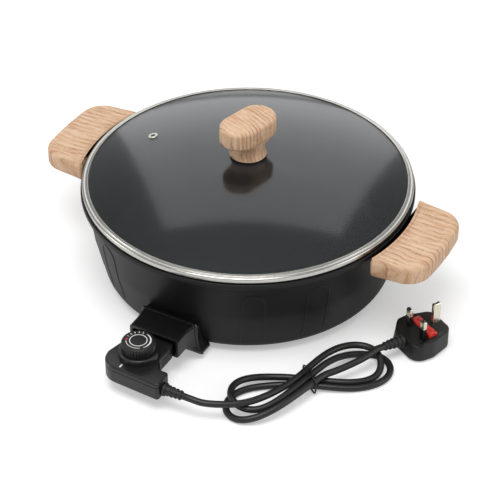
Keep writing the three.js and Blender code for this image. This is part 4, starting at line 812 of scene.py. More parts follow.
def gathered(name, pieces):
    """One object holding the meshes of several, which are then removed."""
    whole = bmesh.new()
    materials = []
    for piece in pieces:
        first = len(whole.faces)
        whole.from_mesh(piece.data)
        whole.faces.ensure_lookup_table()
        for face in whole.faces[first:]:
            material = piece.data.materials[face.material_index] if piece.data.materials else None
            if material not in materials:
                materials.append(material)
            face.material_index = materials.index(material)
    mesh = bpy.data.meshes.new(name)
    whole.to_mesh(mesh)
    whole.free()
    for material in materials:
        mesh.materials.append(material)
    for piece in pieces:
        bpy.data.objects.remove(piece)
    return shown(name, mesh)


# Softer and duller than the plug, with dust settling in the grooves as a slightly greyer tone.
relief_pvc = mottled_finish("moulded soft PVC strain relief, black", drift=(260, 3),
                            tones=("#1a1a1a", "#262626"), shine=(0.42, 0.58), dents=(0.1, 0.0002), IOR=1.5)

rib_row = rib_row_tree()


def relief_piece(name, root, tip, root_radius, tip_radius, count, collar):
    """A tapered core along a line, with rounded ribs round it and a collar at its root."""
    heading = (tip - root).normalized()
    length = (tip - root).length
    turn = heading.to_track_quat("Z", "Y").to_matrix()
    pitch = (length - collar) / count
    half = pitch * 0.3

    def turned_part(part_name, profile):
        points, faces = turned(profile, relief_sides)
        return mesh_of(part_name, [turn @ point + root for point in points], faces, relief_pvc, 50)

    parts = [turned_part(name + "_core", [(0, 0), (root_radius - relief_rib_depth, 0),
                                          (tip_radius - relief_rib_depth, length), (0, length)])]
    if collar:
        parts.append(turned_part(name + "_collar", [
            (0, 0), (root_radius - relief_edge, 0), (root_radius, relief_edge),
            (root_radius, collar - relief_edge), (root_radius - relief_edge, collar), (0, collar)]))
    rib_radius = root_radius - (relief_rib_depth if collar else 0)
    bore = tip_radius * 0.6
    rib_corners = [(bore, -half), (rib_radius, -half), (rib_radius, half), (bore, half)]
    points, faces = turned(rounded(rib_corners, [0, half * 0.6, half * 0.6, 0], 5), relief_sides)
    rib_mesh = bpy.data.meshes.new(name + "_rib")
    rib_mesh.from_pydata([turn @ point * MM for point in points], [], faces)
    rib = shown(name + "_rib", rib_mesh)
    first = root + heading * (collar + pitch * 0.5)
    grown(rib, rib_row, count=count, start=metres(first), step=heading * pitch * MM,
          last_scale=tip_radius / rib_radius, material=relief_pvc)
    parts.append(rib)
    piece = gathered(name, parts)
    turn_outwards(piece.data)
    return sharpened(piece, 50)


relief_root = Vector((arm_right, relief_tip.y, relief_tip.z))
control_relief = relief_piece("control_relief", relief_root, relief_tip, relief_root_radius,
                              relief_tip_radius, relief_ribs, relief_collar)
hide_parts("control_strain_relief")
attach(control_relief, "control")

plug_root = on_plug((0, -plug_cord_end + plug_relief_sunk, plug_relief_height))
plug_tip = on_plug((0, -plug_relief_tip, plug_relief_height + plug_relief_rise))
plug_relief = relief_piece("plug_relief", plug_root, plug_tip, plug_relief_root_radius,
                           plug_relief_tip_radius, plug_relief_ribs, 0)
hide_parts("plug_strain_relief")
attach(plug_relief, "control")

# Pan
# Die-cast aluminium, wide and shallow, with a flat flange round its mouth and arched panels pressed round its
# wall. Baked non-stick coats it: satin black outside and charcoal with a fine fleck inside.
pan_recess = 12.5
pan_recess_radius = 128
pan_skirt = 5
pan_corner = 13
pan_foot_radius = 140.16
pan_waist_radius = 150
pan_waist = 50
pan_mouth_radius = 156
pan_flange_low = 92.4
pan_flange_radius = 161.5
pan_flange_top = 97.7
pan_wall = 2.8
pan_floor = 16
pan_fillet = 16
pan_inner_foot = 139.76
flange_edge = 0.9
pan_sides = 240

# Sprayed and baked: an even satin with a very fine orange peel, and a slow change in gloss round the wall.
coating_outside = mottled_finish("baked non-stick coating, satin black", drift=(14, 2),
                                 tones=("#0a0a0a", "#101010"), shine=(0.36, 0.46), grain=(1100, 2),
                                 dents=(0.12, 0.0002), IOR=1.38)

coating_inside, tree, output = new_material("fleck non-stick coating, charcoal")
# The cooking surface is an even charcoal, with faint pale flecks about a millimetre across from the spray.
spot = add(tree, "ShaderNodeTexCoord", {})
fleck = add(tree, "ShaderNodeTexNoise", {"Vector": spot.outputs["Object"], "Scale": 800, "Detail": 1})
few = add(tree, "ShaderNodeMapRange", {"Value": fleck.outputs["Fac"], "From Min": 0.62, "From Max": 0.7})
cloud = add(tree, "ShaderNodeTexNoise", {"Vector": spot.outputs["Object"], "Scale": 25, "Detail": 3})
ground = add(tree, "ShaderNodeMix",
             {0: cloud.outputs["Fac"], 6: linear("#2b2e31"), 7: linear("#34373a")}, data_type="RGBA")
tone = add(tree, "ShaderNodeMix",
           {0: few.outputs[0], 6: ground.outputs[2], 7: linear("#484d51")}, data_type="RGBA")
rough = add(tree, "ShaderNodeMapRange", {"Value": fleck.outputs["Fac"], "To Min": 0.52, "To Max": 0.44})
bump = add(tree, "ShaderNodeBump", {"Height": fleck.outputs["Fac"], "Strength": 0.03, "Distance": 0.0002})
skin = add(tree, "ShaderNodeBsdfPrincipled",
           {"Base Color": tone.outputs[2], "Roughness": rough.outputs[0], "Normal": bump.outputs[0],
            "IOR": 1.45})
tree.links.new(skin.outputs[0], output.inputs["Surface"])

pan_line = rounded(
    [(0, pan_recess), (pan_recess_radius, pan_recess), (pan_recess_radius, pan_skirt),
     (pan_foot_radius, pan_skirt), (pan_waist_radius, pan_waist), (pan_mouth_radius, pan_flange_low),
     (pan_flange_radius, pan_flange_low),
     (pan_flange_radius, pan_flange_top), (pan_mouth_radius - pan_wall, pan_flange_top),
     (pan_mouth_radius - pan_wall, pan_flange_low), (pan_waist_radius - pan_wall, pan_waist),
     (pan_inner_foot, pan_floor), (0, pan_floor)],
    [0, 2, 1, pan_corner, 120, 2, flange_edge, flange_edge, flange_edge, 20, 60, pan_fillet, 0], 9)
pan_points, pan_faces = turned(pan_line, pan_sides)
inner_start = max(i for i, (radius, height) in enumerate(pan_line) if height > pan_flange_top - 0.001) + 1
pan_face_materials = []
for i in range(len(pan_line) - 1):
    pan_face_materials += [1 if i >= inner_start else 0] * pan_sides
pan = mesh_of("pan", pan_points, pan_faces, coating_outside, 30, materials=[coating_outside, coating_inside],
              face_materials=pan_face_materials)

# Under the floor stand three bosses for the base cover, and behind the socket two more. A notch in the skirt
# lets the heating element out.
cover_top = foot_height + 2.2
cover_boss_radius = 5
cover_screw_circle = 66
cover_screw_radius = 1.75
cover_screw_length = 8
socket_boss_radius = 4.2
socket_screw_offset = 18.5
socket_screw_radius = 1.5
socket_screw_length = 12
socket_plate_front = 163
socket_plate = 3
terminal_height = 27.7
play = 0.3
notch_half_width = 15
notch_front = 160
notch_back = 115
socket_boss_root = 139.5
boss_sunk = 1
hole_clear = 3
cut_past = 1


def bar(name, start, end, radius, material, sides=24):
    """A round bar between two points, for cutting and joining."""
    axis = Vector(end) - Vector(start)
    turn = axis.to_track_quat("Z", "Y").to_matrix()
    ring = []
    for k in range(sides):
        angle = 2 * math.pi * k / sides
        ring.append(Vector((radius * math.cos(angle), radius * math.sin(angle), 0)))
    rings = [[turn @ point + Vector(place) for point in ring] for place in (start, end)]
    return mesh_of(name, *lofted(rings), material)


def upright_bar(name, x, y, low, high, radius, material, sides=24):
    return bar(name, (x, y, low), (x, y, high), radius, material, sides)


def level_bar(name, x, start, end, radius, material, sides=24):
    """A bar at the terminals' height, between two distances in front of the pan's axis."""
    return bar(name, (x, -start, terminal_height), (x, -end, terminal_height), radius, material, sides)


cover_screw_places = [(cover_screw_circle * math.cos(angle), cover_screw_circle * math.sin(angle))
                      for angle in (math.pi / 2, math.pi * 7 / 6, math.pi * 11 / 6)]
socket_screw_sides = (-socket_screw_offset, socket_screw_offset)
for x, y in cover_screw_places:
    boolean(pan, upright_bar("boss", x, y, cover_top + play, pan_floor - boss_sunk, cover_boss_radius,
                             coating_outside), "UNION")
for x in socket_screw_sides:
    boolean(pan, level_bar("boss", x, socket_boss_root, socket_plate_front - socket_plate - play,
                           socket_boss_radius, coating_outside), "UNION")
cut(pan, box_of("notch", (-notch_half_width, -notch_front, pan_skirt - hole_clear),
                (notch_half_width, -notch_back, pan_recess), coating_outside))
for x, y in cover_screw_places:
    cut(pan, upright_bar("hole", x, y, 0, foot_height + cover_screw_length, cover_screw_radius + play,
                         coating_outside))
for x in socket_screw_sides:
    cut(pan, level_bar("hole", x, socket_plate_front + hole_clear,
                       socket_plate_front - socket_screw_length - play, socket_screw_radius + play,
                       coating_outside))

arch_pitch = math.radians(23.2)
arch_rows = [(-59.2, 2), (-144, 2), (32, 6)]
arch_half_width = 11
arch_top = 79
arch_low = 13
arch_bead = 1.1
arch_sunk = 0.55
arch_steps = 24
arch_sides = 10
arch_tuck_height = 22
arch_tuck = 0.028
heel = 18
heel_radius = 143


def pan_radius(height):
    """The radius of the wall's outside, which leans out a little more below the waist than above it."""
    if height < pan_waist:
        return heel_radius + (height - heel) * (pan_waist_radius - heel_radius) / (pan_waist - heel)
    above = height - pan_waist
    return pan_waist_radius + above * (pan_mouth_radius - pan_waist_radius) / (pan_flange_low - pan_waist)


def ring_of_copies_tree():
    """Copies of one piece round the upright axis, each turned on by a step."""
    tree = bpy.data.node_groups.new("copies round an axis", "GeometryNodeTree")
    interface(tree, "Piece", "NodeSocketGeometry")
    interface(tree, "Count", "NodeSocketInt", 4)
    interface(tree, "Start Angle", "NodeSocketFloat", 0.0)
    interface(tree, "Step Angle", "NodeSocketFloat", 0.0)
    interface(tree, "Centre", "NodeSocketVector")
    interface(tree, "Material", "NodeSocketMaterial")
    interface(tree, "Geometry", "NodeSocketGeometry", direction="OUTPUT")
    given = tree.nodes.new("NodeGroupInput").outputs
    index = tree.nodes.new("GeometryNodeInputIndex")
    angle = add(tree, "ShaderNodeMath",
                {0: index.outputs[0], 1: given["Step Angle"], 2: given["Start Angle"]},
                operation="MULTIPLY_ADD")
    about = add(tree, "ShaderNodeCombineXYZ", {"Z": angle.outputs[0]})
    turn = add(tree, "FunctionNodeEulerToRotation", {0: about.outputs[0]})
    spots = add(tree, "GeometryNodePoints", {"Count": given["Count"], "Position": given["Centre"]})
    return copies_on(tree, given, "Piece", spots, {"Rotation": turn.outputs[0]})


copies_round = ring_of_copies_tree()
arch_shoulder = arch_top - arch_half_width
arch_line = [Vector((-arch_half_width, height))
             for height in np.linspace(arch_low, arch_shoulder, arch_steps)]
arch_line += [Vector((-arch_half_width * math.cos(a), arch_shoulder + arch_half_width * math.sin(a)))
              for a in np.linspace(0, math.pi, arch_steps + 1)[1:-1]]
arch_line += [Vector((arch_half_width, height))
              for height in np.linspace(arch_shoulder, arch_low, arch_steps)]
arch_route = []
for across, height in arch_line:
    radius = pan_radius(height) - arch_sunk
    if height < arch_tuck_height:
        radius -= (arch_tuck_height - height) ** 2 * arch_tuck
    angle = across / radius
    arch_route.append(Vector((radius * math.cos(angle), radius * math.sin(angle), height)))


def bead_along(route, radius, sides):
    """A closed tube whose rings turn as little as they can."""
    side = (route[1] - route[0]).normalized().cross(Vector((1, 0, 0))).normalized()
    rings = []
    for i, centre in enumerate(route):
        ahead = (route[min(i + 1, len(route) - 1)] - route[max(i - 1, 0)]).normalized()
        side = (side - ahead * side.dot(ahead)).normalized()
        rings.append(ring_round(centre, side, ahead.cross(side), radius, sides))
    return lofted(rings)


pan_parts = [pan]
for start, count in arch_rows:
    arches = mesh_of("arches", *bead_along(arch_route, arch_bead, arch_sides), coating_outside)
    grown(arches, copies_round, count=count, start_angle=math.radians(start), step_angle=arch_pitch,
          material=coating_outside)
    pan_parts.append(arches)
pan = gathered("pan_shell", pan_parts)
sharpened(pan, 30)
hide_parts("pan_body")
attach(pan, "base")

# Base cover, its screws and the feet
# A pressed steel disc, powder-coated matt black, closes the pan's underside over the heating element. Three
# screws hold it, and the stems of four rubber feet push through it.
# Baked powder has a fine pebbled skin, about half a millimetre from bump to bump.
cover_coat = mottled_finish("powder-coated steel sheet, matt black", drift=(20, 2),
                            tones=("#1a1a1a", "#232323"), shine=(0.5, 0.68), grain=(1300, 2),
                            dents=(0.3, 0.0003), grain_shine=True, IOR=1.5)

# Thin bright plating over turned steel, slightly blotched by the bath.
screw_steel = mottled_finish("zinc-plated steel screw", drift=(700, 2), tones=("#a9abad", "#cfd1d2"),
                             shine=(0.22, 0.4), Metallic=1.0)

# Rubber is dull and a little grey, with a soft moulding texture.
foot_rubber = mottled_finish("moulded silicone rubber, black", drift=(900, 2), tones=("#1c1c1c", "#272727"),
                             shine=[0.72], dents=(0.2, 0.0002), IOR=1.43)


def dressed(material, *nodes):
    """Gives CAD nodes that stay in view their material."""
    for node in nodes:
        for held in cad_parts[node].material_slots:
            held.material = material


def screw_piece(name, seat, heading, radius, length, head_radius, head_height):
    """A pan-head screw with a cross recess and a threaded shank, its head's underside at the seat."""
    head_edge = head_height * 0.45
    thread_pitch = 1.1
    thread_depth = radius * 0.16
    profile = [(0, -head_height), (head_radius - head_edge * 1.6, -head_height),
               (head_radius - head_edge * 0.5, -head_height + head_edge * 0.35),
               (head_radius, -head_height + head_edge), (head_radius, 0), (radius, 0)]
    turns = int((length - radius) / thread_pitch)
    for i in range(turns):
        profile.append((radius - thread_depth, thread_pitch * (i + 0.5)))
        profile.append((radius, thread_pitch * (i + 1)))
    profile += [(radius * 0.6, length), (0, length)]
    turn = Vector(heading).to_track_quat("Z", "Y").to_matrix()
    points, faces = turned(profile, 20)
    piece = mesh_of(name, [turn @ point + Vector(seat) for point in points], faces, screw_steel, 30)
    slot_half = head_radius * 0.14
    slot_reach = head_radius * 0.55
    for across, along in ((slot_half, slot_reach), (slot_reach, slot_half)):
        outline = [(-across, -along), (across, -along), (across, along), (-across, along)]
        levels = [-head_height - 1, -head_height * 0.35]
        rings = [[turn @ Vector((x, y, level)) + Vector(seat) for x, y in outline] for level in levels]
        cut(piece, mesh_of("recess", *lofted(rings), screw_steel))
    return sharpened(piece, 30)


dressed(cover_coat, "base_cover")
cover_screw_head_radius = 4
cover_screw_head_height = 1.4
base_screws = screw_piece("base_screws", (cover_screw_circle, 0, foot_height - play), (0, 0, 1),
                          cover_screw_radius, cover_screw_length, cover_screw_head_radius,
                          cover_screw_head_height)
grown(base_screws, copies_round, count=3, start_angle=math.pi / 2, step_angle=math.pi * 2 / 3,
      material=screw_steel)
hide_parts("base_screw_1", "base_screw_2", "base_screw_3")
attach(base_screws, "base")

foot_radius = 12
foot_circle = 114
foot_stem_radius = 3
foot_stem = 5
foot_pad = foot_height - play
foot_round = 1.1
foot_top_bevel = 0.25
foot_stem_taper = 0.8
foot_sides = 40
sole_groove = 0.35
sole_bevel = 0.4
sole_ring_start = 5
sole_ring_end = 7
sole_edge_start = 8.2
foot_profile = [(0, sole_groove), (sole_ring_start, sole_groove), (sole_ring_start + sole_bevel, 0),
                (sole_ring_end - sole_bevel, 0), (sole_ring_end, sole_groove), (sole_edge_start, sole_groove),
                (sole_edge_start + sole_bevel, 0), (foot_radius - foot_round, 0),
                (foot_radius - foot_round * 0.3, foot_round * 0.3), (foot_radius, foot_round),
                (foot_radius, foot_pad - foot_top_bevel), (foot_radius - foot_top_bevel, foot_pad),
                (foot_stem_radius, foot_pad), (foot_stem_radius, foot_pad + foot_stem * 0.6),
                (foot_stem_radius - foot_stem_taper, foot_pad + foot_stem), (0, foot_pad + foot_stem)]
foot_points, foot_faces = turned(foot_profile, foot_sides)
foot_place = Vector((foot_circle, 0, 0))
feet = mesh_of("feet", [point + foot_place for point in foot_points], foot_faces, foot_rubber, 50)
grown(feet, copies_round, count=4, start_angle=math.pi / 4, step_angle=math.pi / 2, material=foot_rubber)
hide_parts("foot_1", "foot_2", "foot_3", "foot_4")
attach(feet, "base")

# Heating element, terminals and probe sleeve
# A sheathed element runs round under the floor, and its ends pass through the socket as two steel pins.
# Between them an aluminium sleeve takes the control's probe.
# Mill-finished aluminium, dulled by heat to a soft grey with faint drawing lines.
element_sheath = mottled_finish("extruded aluminium element sheath", drift=(150, 3),
                                tones=("#9a9b9c", "#c3c4c5"), shine=(0.34, 0.52), Metallic=1.0)
dressed(element_sheath, "heating_element", "probe_sleeve")

# Fine turning rings about a fifth of a millimetre apart, drawn coarser than life.
terminal_steel = mottled_finish("turned stainless steel pin", drift=(1, 2), stretch=(100, 3500, 100),
                                tones=["#c9cac9"], shine=(0.14, 0.32), dents=(0.12, 0.0001), Metallic=1.0)

terminal_side = 10
terminal_radius = 2
terminal_front = 187
terminal_sides = 28
terminal_tip = ((1.4, 0), (0.7, 0.25), (0.15, 0.8), (0, 1.3))


def front_turned(profile, x, height, sides):
    """A body turned about a level axis that runs to the front, from (radius, distance to the front)."""
    points, faces = turned(profile, sides)
    return [Vector((x + point.x, -point.z, height + point.y)) for point in points], faces


terminal_profile = [(0, socket_plate_front + play), (terminal_radius, socket_plate_front + play)]
terminal_profile += [(terminal_radius - inward, terminal_front - back) for back, inward in terminal_tip]
terminal_profile.append((0, terminal_front))
for side, name in ((-1, "left"), (1, "right")):
    pin = front_turned(terminal_profile, side * terminal_side, terminal_height, terminal_sides)
    terminal = mesh_of("terminal_" + name, *pin, terminal_steel, 30)
    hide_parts("terminal_pin_" + name)
    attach(terminal, "base")

# Socket
# A glossy phenolic moulding that flares onto the pan's wall and covers the terminals. Two screws in its mouth
# hold it to bosses on the pan.
# Hard and shiny, with a very slight waviness left by the press.
socket_gloss = mottled_finish("compression-moulded phenolic, gloss black", drift=(130, 2),
                              tones=("#0c0c0c", "#131313"), shine=(0.2, 0.3), dents=(0.05, 0.0004), IOR=1.58)

socket_back = 136
socket_flare_front = 148.4
socket_shoulder_front = 166
socket_front = 180
socket_half_width = 26
socket_neck_half_width = 28
socket_ridge_half_width = 30
socket_foot_half_width = 36
socket_bottom = 19
socket_foot_bottom = 6
socket_flare_height = 27
socket_back_top = 38.6
socket_deck = 39.2
socket_top = 40
socket_corner = 3
socket_round = 1.6
socket_wall = 3
socket_edge = 0.8
ridge_back = 149.4
ridge_front = 152.6


def front_box(front, half_width, bottom, top, corner):
    """A rounded rectangle that stands upright, facing the front."""
    flat = rounded([(-half_width, bottom), (half_width, bottom), (half_width, top), (-half_width, top)],
                   [corner] * 4, 6)
    return [Vector((p.x, -front, p.y)) for p in flat]


def socket_ring(front, half_top, half_low, bottom, top):
    """A station of the socket: upright sides above, spreading to a wider foot below."""
    ring = []
    steps = 14
    for k in range(steps + 1):
        height = bottom + (top - bottom) * k / steps
        spread = max((socket_flare_height - height) / max(socket_flare_height - bottom, 1), 0) ** 2
        half = half_top + (half_low - half_top) * spread
        for from_end in (top - height, height - bottom):
            inside = max(socket_round - from_end, 0)
            half -= socket_round - math.sqrt(max(socket_round ** 2 - inside ** 2, 0))
        ring.append(Vector((half, -front, height)))
    return ring + [Vector((-point.x, point.y, point.z)) for point in reversed(ring)]


def narrowing_ring(front, half_top, top, beyond=0):
    """A station between the ridge and the shoulder, where the foot draws in and rises."""
    share = (front - ridge_back) / (socket_shoulder_front - ridge_back)
    half_low = socket_foot_half_width + (socket_half_width - socket_foot_half_width) * smooth(share)
    bottom = socket_foot_bottom + (socket_bottom - socket_foot_bottom) * smooth(share)
    return socket_ring(front, half_top, half_low + beyond, bottom, top)


socket_rings = [socket_ring(front, socket_neck_half_width, socket_foot_half_width, socket_foot_bottom,
                            socket_back_top) for front in (socket_back, socket_flare_front)]
ridge_steps = 6
for k in range(ridge_steps + 1):
    angle = math.pi * k / ridge_steps
    front = (ridge_back + ridge_front) / 2 - (ridge_front - ridge_back) / 2 * math.cos(angle)
    rise = math.sin(angle)
    half_top = socket_neck_half_width + (socket_ridge_half_width - socket_neck_half_width) * rise
    top = socket_deck + (socket_top - socket_deck) * rise
    socket_rings.append(narrowing_ring(front, half_top, top, rise))
neck_steps = 8
for k in range(1, neck_steps + 1):
    front = ridge_front + (socket_shoulder_front - ridge_front) * k / neck_steps
    half_top = socket_neck_half_width + (socket_half_width - socket_neck_half_width) * k / neck_steps
    socket_rings.append(narrowing_ring(front, half_top, socket_deck))
for inward, outward in ((0, 1), (0.3, 0.3), (1, 0)):
    drawn_in = socket_edge * inward
    socket_rings.append(socket_ring(socket_front - socket_edge * outward, socket_half_width - drawn_in,
                                    socket_half_width - drawn_in, socket_bottom + drawn_in,
                                    socket_deck - drawn_in))
socket = mesh_of("socket", *lofted(socket_rings), socket_gloss, 30)
pan_fit = rounded(
    [(0, pan_skirt - play), (pan_foot_radius + play, pan_skirt - play), (pan_waist_radius + play, pan_waist),
     (pan_mouth_radius + play, pan_flange_low - play), (0, pan_flange_low - play)],
    [0, pan_corner + play, 120, 0, 0], 9)
mouth_half = socket_half_width - socket_wall
mouth_low = socket_bottom + socket_wall
mouth_top = socket_top - socket_wall
well_half = 24.5
well_low = socket_bottom - socket_wall
well_front = socket_plate_front - socket_plate
way_corner = 0.5
for back, front, half, low, high, corner in [
        (socket_plate_front, socket_front + cut_past, mouth_half, mouth_low, mouth_top, socket_corner),
        (socket_back - cut_past, well_front, well_half, well_low, mouth_top, socket_corner),
        (socket_back - cut_past, well_front, notch_half_width, socket_foot_bottom - hole_clear,
         well_low + socket_corner, way_corner)]:
    rings = [front_box(place, half, low, high, corner) for place in (back, front)]
    cut(socket, mesh_of("room", *lofted(rings), socket_gloss))
element_radius = 3.5
probe_sleeve_radius = 4.5
for x, radius in [(-terminal_side, element_radius), (terminal_side, element_radius), (0, probe_sleeve_radius),
                  (-socket_screw_offset, socket_screw_radius), (socket_screw_offset, socket_screw_radius)]:
    cut(socket, level_bar("hole", x, well_front - cut_past, socket_plate_front + cut_past, radius + play,
                          socket_gloss, 28))
cut(socket, mesh_of("pan_room", *turned(pan_fit, pan_sides), socket_gloss))
sharpened(socket, 30)
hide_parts("socket_housing")
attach(socket, "base")

socket_screw_head_radius = 3
socket_screw_head_height = 1.6
socket_screws = screw_piece("socket_screws", (0, 0, 0), (0, 1, 0), socket_screw_radius, socket_screw_length,
                            socket_screw_head_radius, socket_screw_head_height)
table_point = metres((0, 0, 0))
first_screw = metres((-socket_screw_offset, -socket_plate_front - play, terminal_height)) - table_point
grown(socket_screws, rib_row, count=2, start=first_screw, step=Vector((socket_screw_offset * 2 * MM, 0, 0)),
      last_scale=1.0, material=screw_steel)
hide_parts("socket_screw_left", "socket_screw_right")
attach(socket_screws, "base")

# Handle brackets
# Sheet-steel brackets, coated like the pan, are fixed under its flange. A tongue on each reaches under the
# wooden grip.
dressed(coating_outside, "handle_bracket_right", "handle_bracket_left")

# Wooden grips
# Solid ash, sawn to a shallow fan shape, with rounded edges and a top slightly dished for the fingers. The
# wood is sanded and oiled, and two screws come up through the bracket's tongue.
def ash_wood(name, band_degrees, tilt, offset_mm, ring_spacing, ring_depth):
    """Growth rings crossing the piece along one level direction, with streaks, fibres and rays along them."""
    material, tree, output = new_material(name)
    spot = add(tree, "ShaderNodeTexCoord", {})
    placed = add(tree, "ShaderNodeMapping",
                 {"Vector": spot.outputs["Object"], "Location": [value * MM for value in offset_mm],
                  "Rotation": (tilt[0], tilt[1], -math.radians(band_degrees))}).outputs[0]
    bands = add(tree, "ShaderNodeTexWave",
                {"Vector": placed, "Scale": 0.314 / (ring_spacing * MM), "Distortion": 11.0, "Detail": 3.5,
                 "Detail Scale": 0.2, "Detail Roughness": 0.62},
                wave_type="RINGS", rings_direction="Z", wave_profile="SAW")
    late = add(tree, "ShaderNodeMapRange", {"Value": bands.outputs["Fac"], "From Min": 0.5, "From Max": 1.0},
               interpolation_type="SMOOTHSTEP")
    drift = add(tree, "ShaderNodeTexNoise", {"Vector": placed, "Scale": 60, "Detail": 3})
    strength = add(tree, "ShaderNodeMapRange",
                   {"Value": drift.outputs["Fac"], "From Min": 0.38, "From Max": 0.62,
                    "To Min": ring_depth * 0.1, "To Max": ring_depth})
    ring_share = add(tree, "ShaderNodeMath", {0: late.outputs[0], 1: strength.outputs[0]},
                     operation="MULTIPLY").outputs[0]
    patterns = []
    shares = []
    threads = [((330, 26, 26), 3, 0.35, 0.68, 1), ((1300, 90, 90), 2, 0.45, 0.72, 0.45),
               ((110, 900, 400), 2, 0.56, 0.72, 0.45)]
    for stretch, detail, low, high, most in threads:
        way = add(tree, "ShaderNodeMapping", {"Vector": placed, "Scale": stretch})
        noise = add(tree, "ShaderNodeTexNoise", {"Vector": way.outputs[0], "Scale": 1, "Detail": detail})
        share = add(tree, "ShaderNodeMapRange",
                    {"Value": noise.outputs["Fac"], "From Min": low, "From Max": high, "To Max": most})
        patterns.append(noise.outputs["Fac"])
        shares.append(share.outputs[0])
    streak_share, fibre_share, ray_share = shares
    fibre = patterns[1]
    tone = linear("#dbbd9f")
    for share, colour in ((streak_share, "#c69a75"), (ring_share, "#94613e"), (fibre_share, "#a3744f"),
                          (ray_share, "#e2cbb0")):
        tone = add(tree, "ShaderNodeMix", {0: share, 6: tone, 7: linear(colour)}, data_type="RGBA").outputs[2]
    rough = add(tree, "ShaderNodeMapRange", {"Value": fibre, "To Min": 0.46, "To Max": 0.62})
    relief = add(tree, "ShaderNodeMath", {0: fibre, 1: ring_share}, operation="ADD")
    bump = add(tree, "ShaderNodeBump", {"Height": relief.outputs[0], "Strength": 0.16, "Distance": 0.0003})
    skin = add(tree, "ShaderNodeBsdfPrincipled",
               {"Base Color": tone, "Roughness": rough.outputs[0], "Normal": bump.outputs[0], "IOR": 1.5})
    tree.links.new(skin.outputs[0], output.inputs["Surface"])
    return material


# Oiled ash is warm and pale, with soft brown growth rings about six millimetres apart and pale rays.
grip_ash = ash_wood("oiled ash, sawn grips", 90, (0.16, 0.1), (1500, 60, 0), 6.0, 0.75)
grip_inner_radius = 165
grip_reach = 210
grip_inner_half_width = 54
grip_outer_half_width = 50.5
grip_shoulder = 206.5
grip_corner = 24
grip_bow = 300
grip_inner_corner = 3
grip_top = 98
grip_bottom = 79
grip_top_round = 5
grip_bottom_round = 3
grip_dish = 0.9
grip_screw_reach = 178
grip_screw_offset = 18
grip_screw_radius = 1.8
grip_screw_length = 13
grip_screw_seat = 75.4
grip_lip = 0.9
grip_lip_rise = 0.4
grip_lip_spread = 2.2
grip_dish_width = 9
grip_bottom_steps = 6
grip_top_steps = 8
grip_hole_bottom = 60

inner_angle = math.asin(grip_inner_half_width / grip_inner_radius)
grip_corners = [(grip_inner_radius * math.cos(inner_angle), -grip_inner_half_width),
                (grip_shoulder, -grip_outer_half_width), (grip_reach, 0),
                (grip_shoulder, grip_outer_half_width),
                (grip_inner_radius * math.cos(inner_angle), grip_inner_half_width)]
grip_radii = [grip_inner_corner, grip_corner, grip_bow, grip_corner, grip_inner_corner]
inner_steps = 12
for i in range(1, inner_steps):
    angle = inner_angle * (1 - 2 * i / inner_steps)
    grip_corners.append((grip_inner_radius * math.cos(angle), grip_inner_radius * math.sin(angle)))
    grip_radii.append(0)
grip_outline = rounded(grip_corners, grip_radii, 12)


def grip_ring(height, outward, inward):
    """The grip's outline, drawn in by one distance at its inner edge and by another everywhere else."""
    ring = []
    for point, moved, edge in zip(grip_outline, inset(grip_outline, outward), inset(grip_outline, inward)):
        near = 1 - smooth((point.length - grip_inner_radius - 1) / 9)
        placed = moved.lerp(edge, near)
        ring.append(Vector((placed.x, placed.y, height)))
    return ring


grip_levels = lower_edge(grip_bottom, grip_bottom_round, grip_bottom_steps)
grip_levels += upper_edge(grip_top, grip_top_round, grip_top_steps)
grip_rings = [grip_ring(grip_bottom, grip_bottom_round + 1, grip_lip + 1)]
grip_rings += [grip_ring(height, distance, min(distance, grip_lip)) for height, distance in grip_levels]
dish_steps = 8
for k in range(1, dish_steps + 1):
    share = k / dish_steps
    grip_rings.append(grip_ring(grip_top - grip_dish * smooth(share * 1.2),
                                grip_top_round + share * grip_dish_width,
                                grip_lip + grip_lip_rise + share * grip_lip_spread))
grip_points, grip_faces = lofted(grip_rings)
grip_screw_sides = (-grip_screw_offset, grip_screw_offset)
grip_hole_top = grip_screw_seat + grip_screw_length + play
for side, name in ((1, "right"), (-1, "left")):
    points = [Vector((point.x * side, point.y * side, point.z)) for point in grip_points]
    grip = mesh_of("grip_" + name, points, grip_faces, grip_ash, 50)
    for y in grip_screw_sides:
        cut(grip, upright_bar("hole", grip_screw_reach * side, y, grip_hole_bottom, grip_hole_top,
                              grip_screw_radius + play, grip_ash))
    sharpened(grip, 50)
    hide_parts("handle_" + name)
    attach(grip, "base")

grip_screw_head_radius = 3.6
grip_screw_head_height = 2
grip_screw_parts = []
for y in grip_screw_sides:
    part = screw_piece("grip_screw", (grip_screw_reach, y, grip_screw_seat), (0, 0, 1), grip_screw_radius,
                       grip_screw_length, grip_screw_head_radius, grip_screw_head_height)
    grip_screw_parts.append(grown(part, copies_round, count=2, step_angle=math.pi, material=screw_steel))
grip_screws = sharpened(gathered("grip_screws", grip_screw_parts), 30)
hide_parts("handle_screw_right_1", "handle_screw_right_2", "handle_screw_left_1",
            "handle_screw_left_2")
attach(grip_screws, "base")

# Lid glass
# One disc of toughened glass, slumped to a shallow dome and tinted grey. It is bored for the knob's screw and
# for the steam vent.
lid_radius = 160
rim_bottom = 98
rim_height = 5.6
rim_sheet = 0.6
glass_radius = 158.4
glass_thickness = 3.6
glass_crown_rise = 27.4
glass_crown = rim_bottom + rim_height + glass_crown_rise
glass_edge_top = rim_bottom + rim_height - rim_sheet - play
glass_rise = glass_crown - glass_edge_top
dome_radius = (glass_radius ** 2 + glass_rise ** 2) / (2 * glass_rise)
knob_bore = 2.7
vent_reach = 104.2
vent_turn = math.radians(181.9)
vent_tube_radius = 3.2
vent_bore_radius = 2.2
vent_flange_radius = 5
vent_flange = 0.8
vent_cut = 9

lid_tint, tree, output = new_material("toughened soda-lime glass, grey tint")
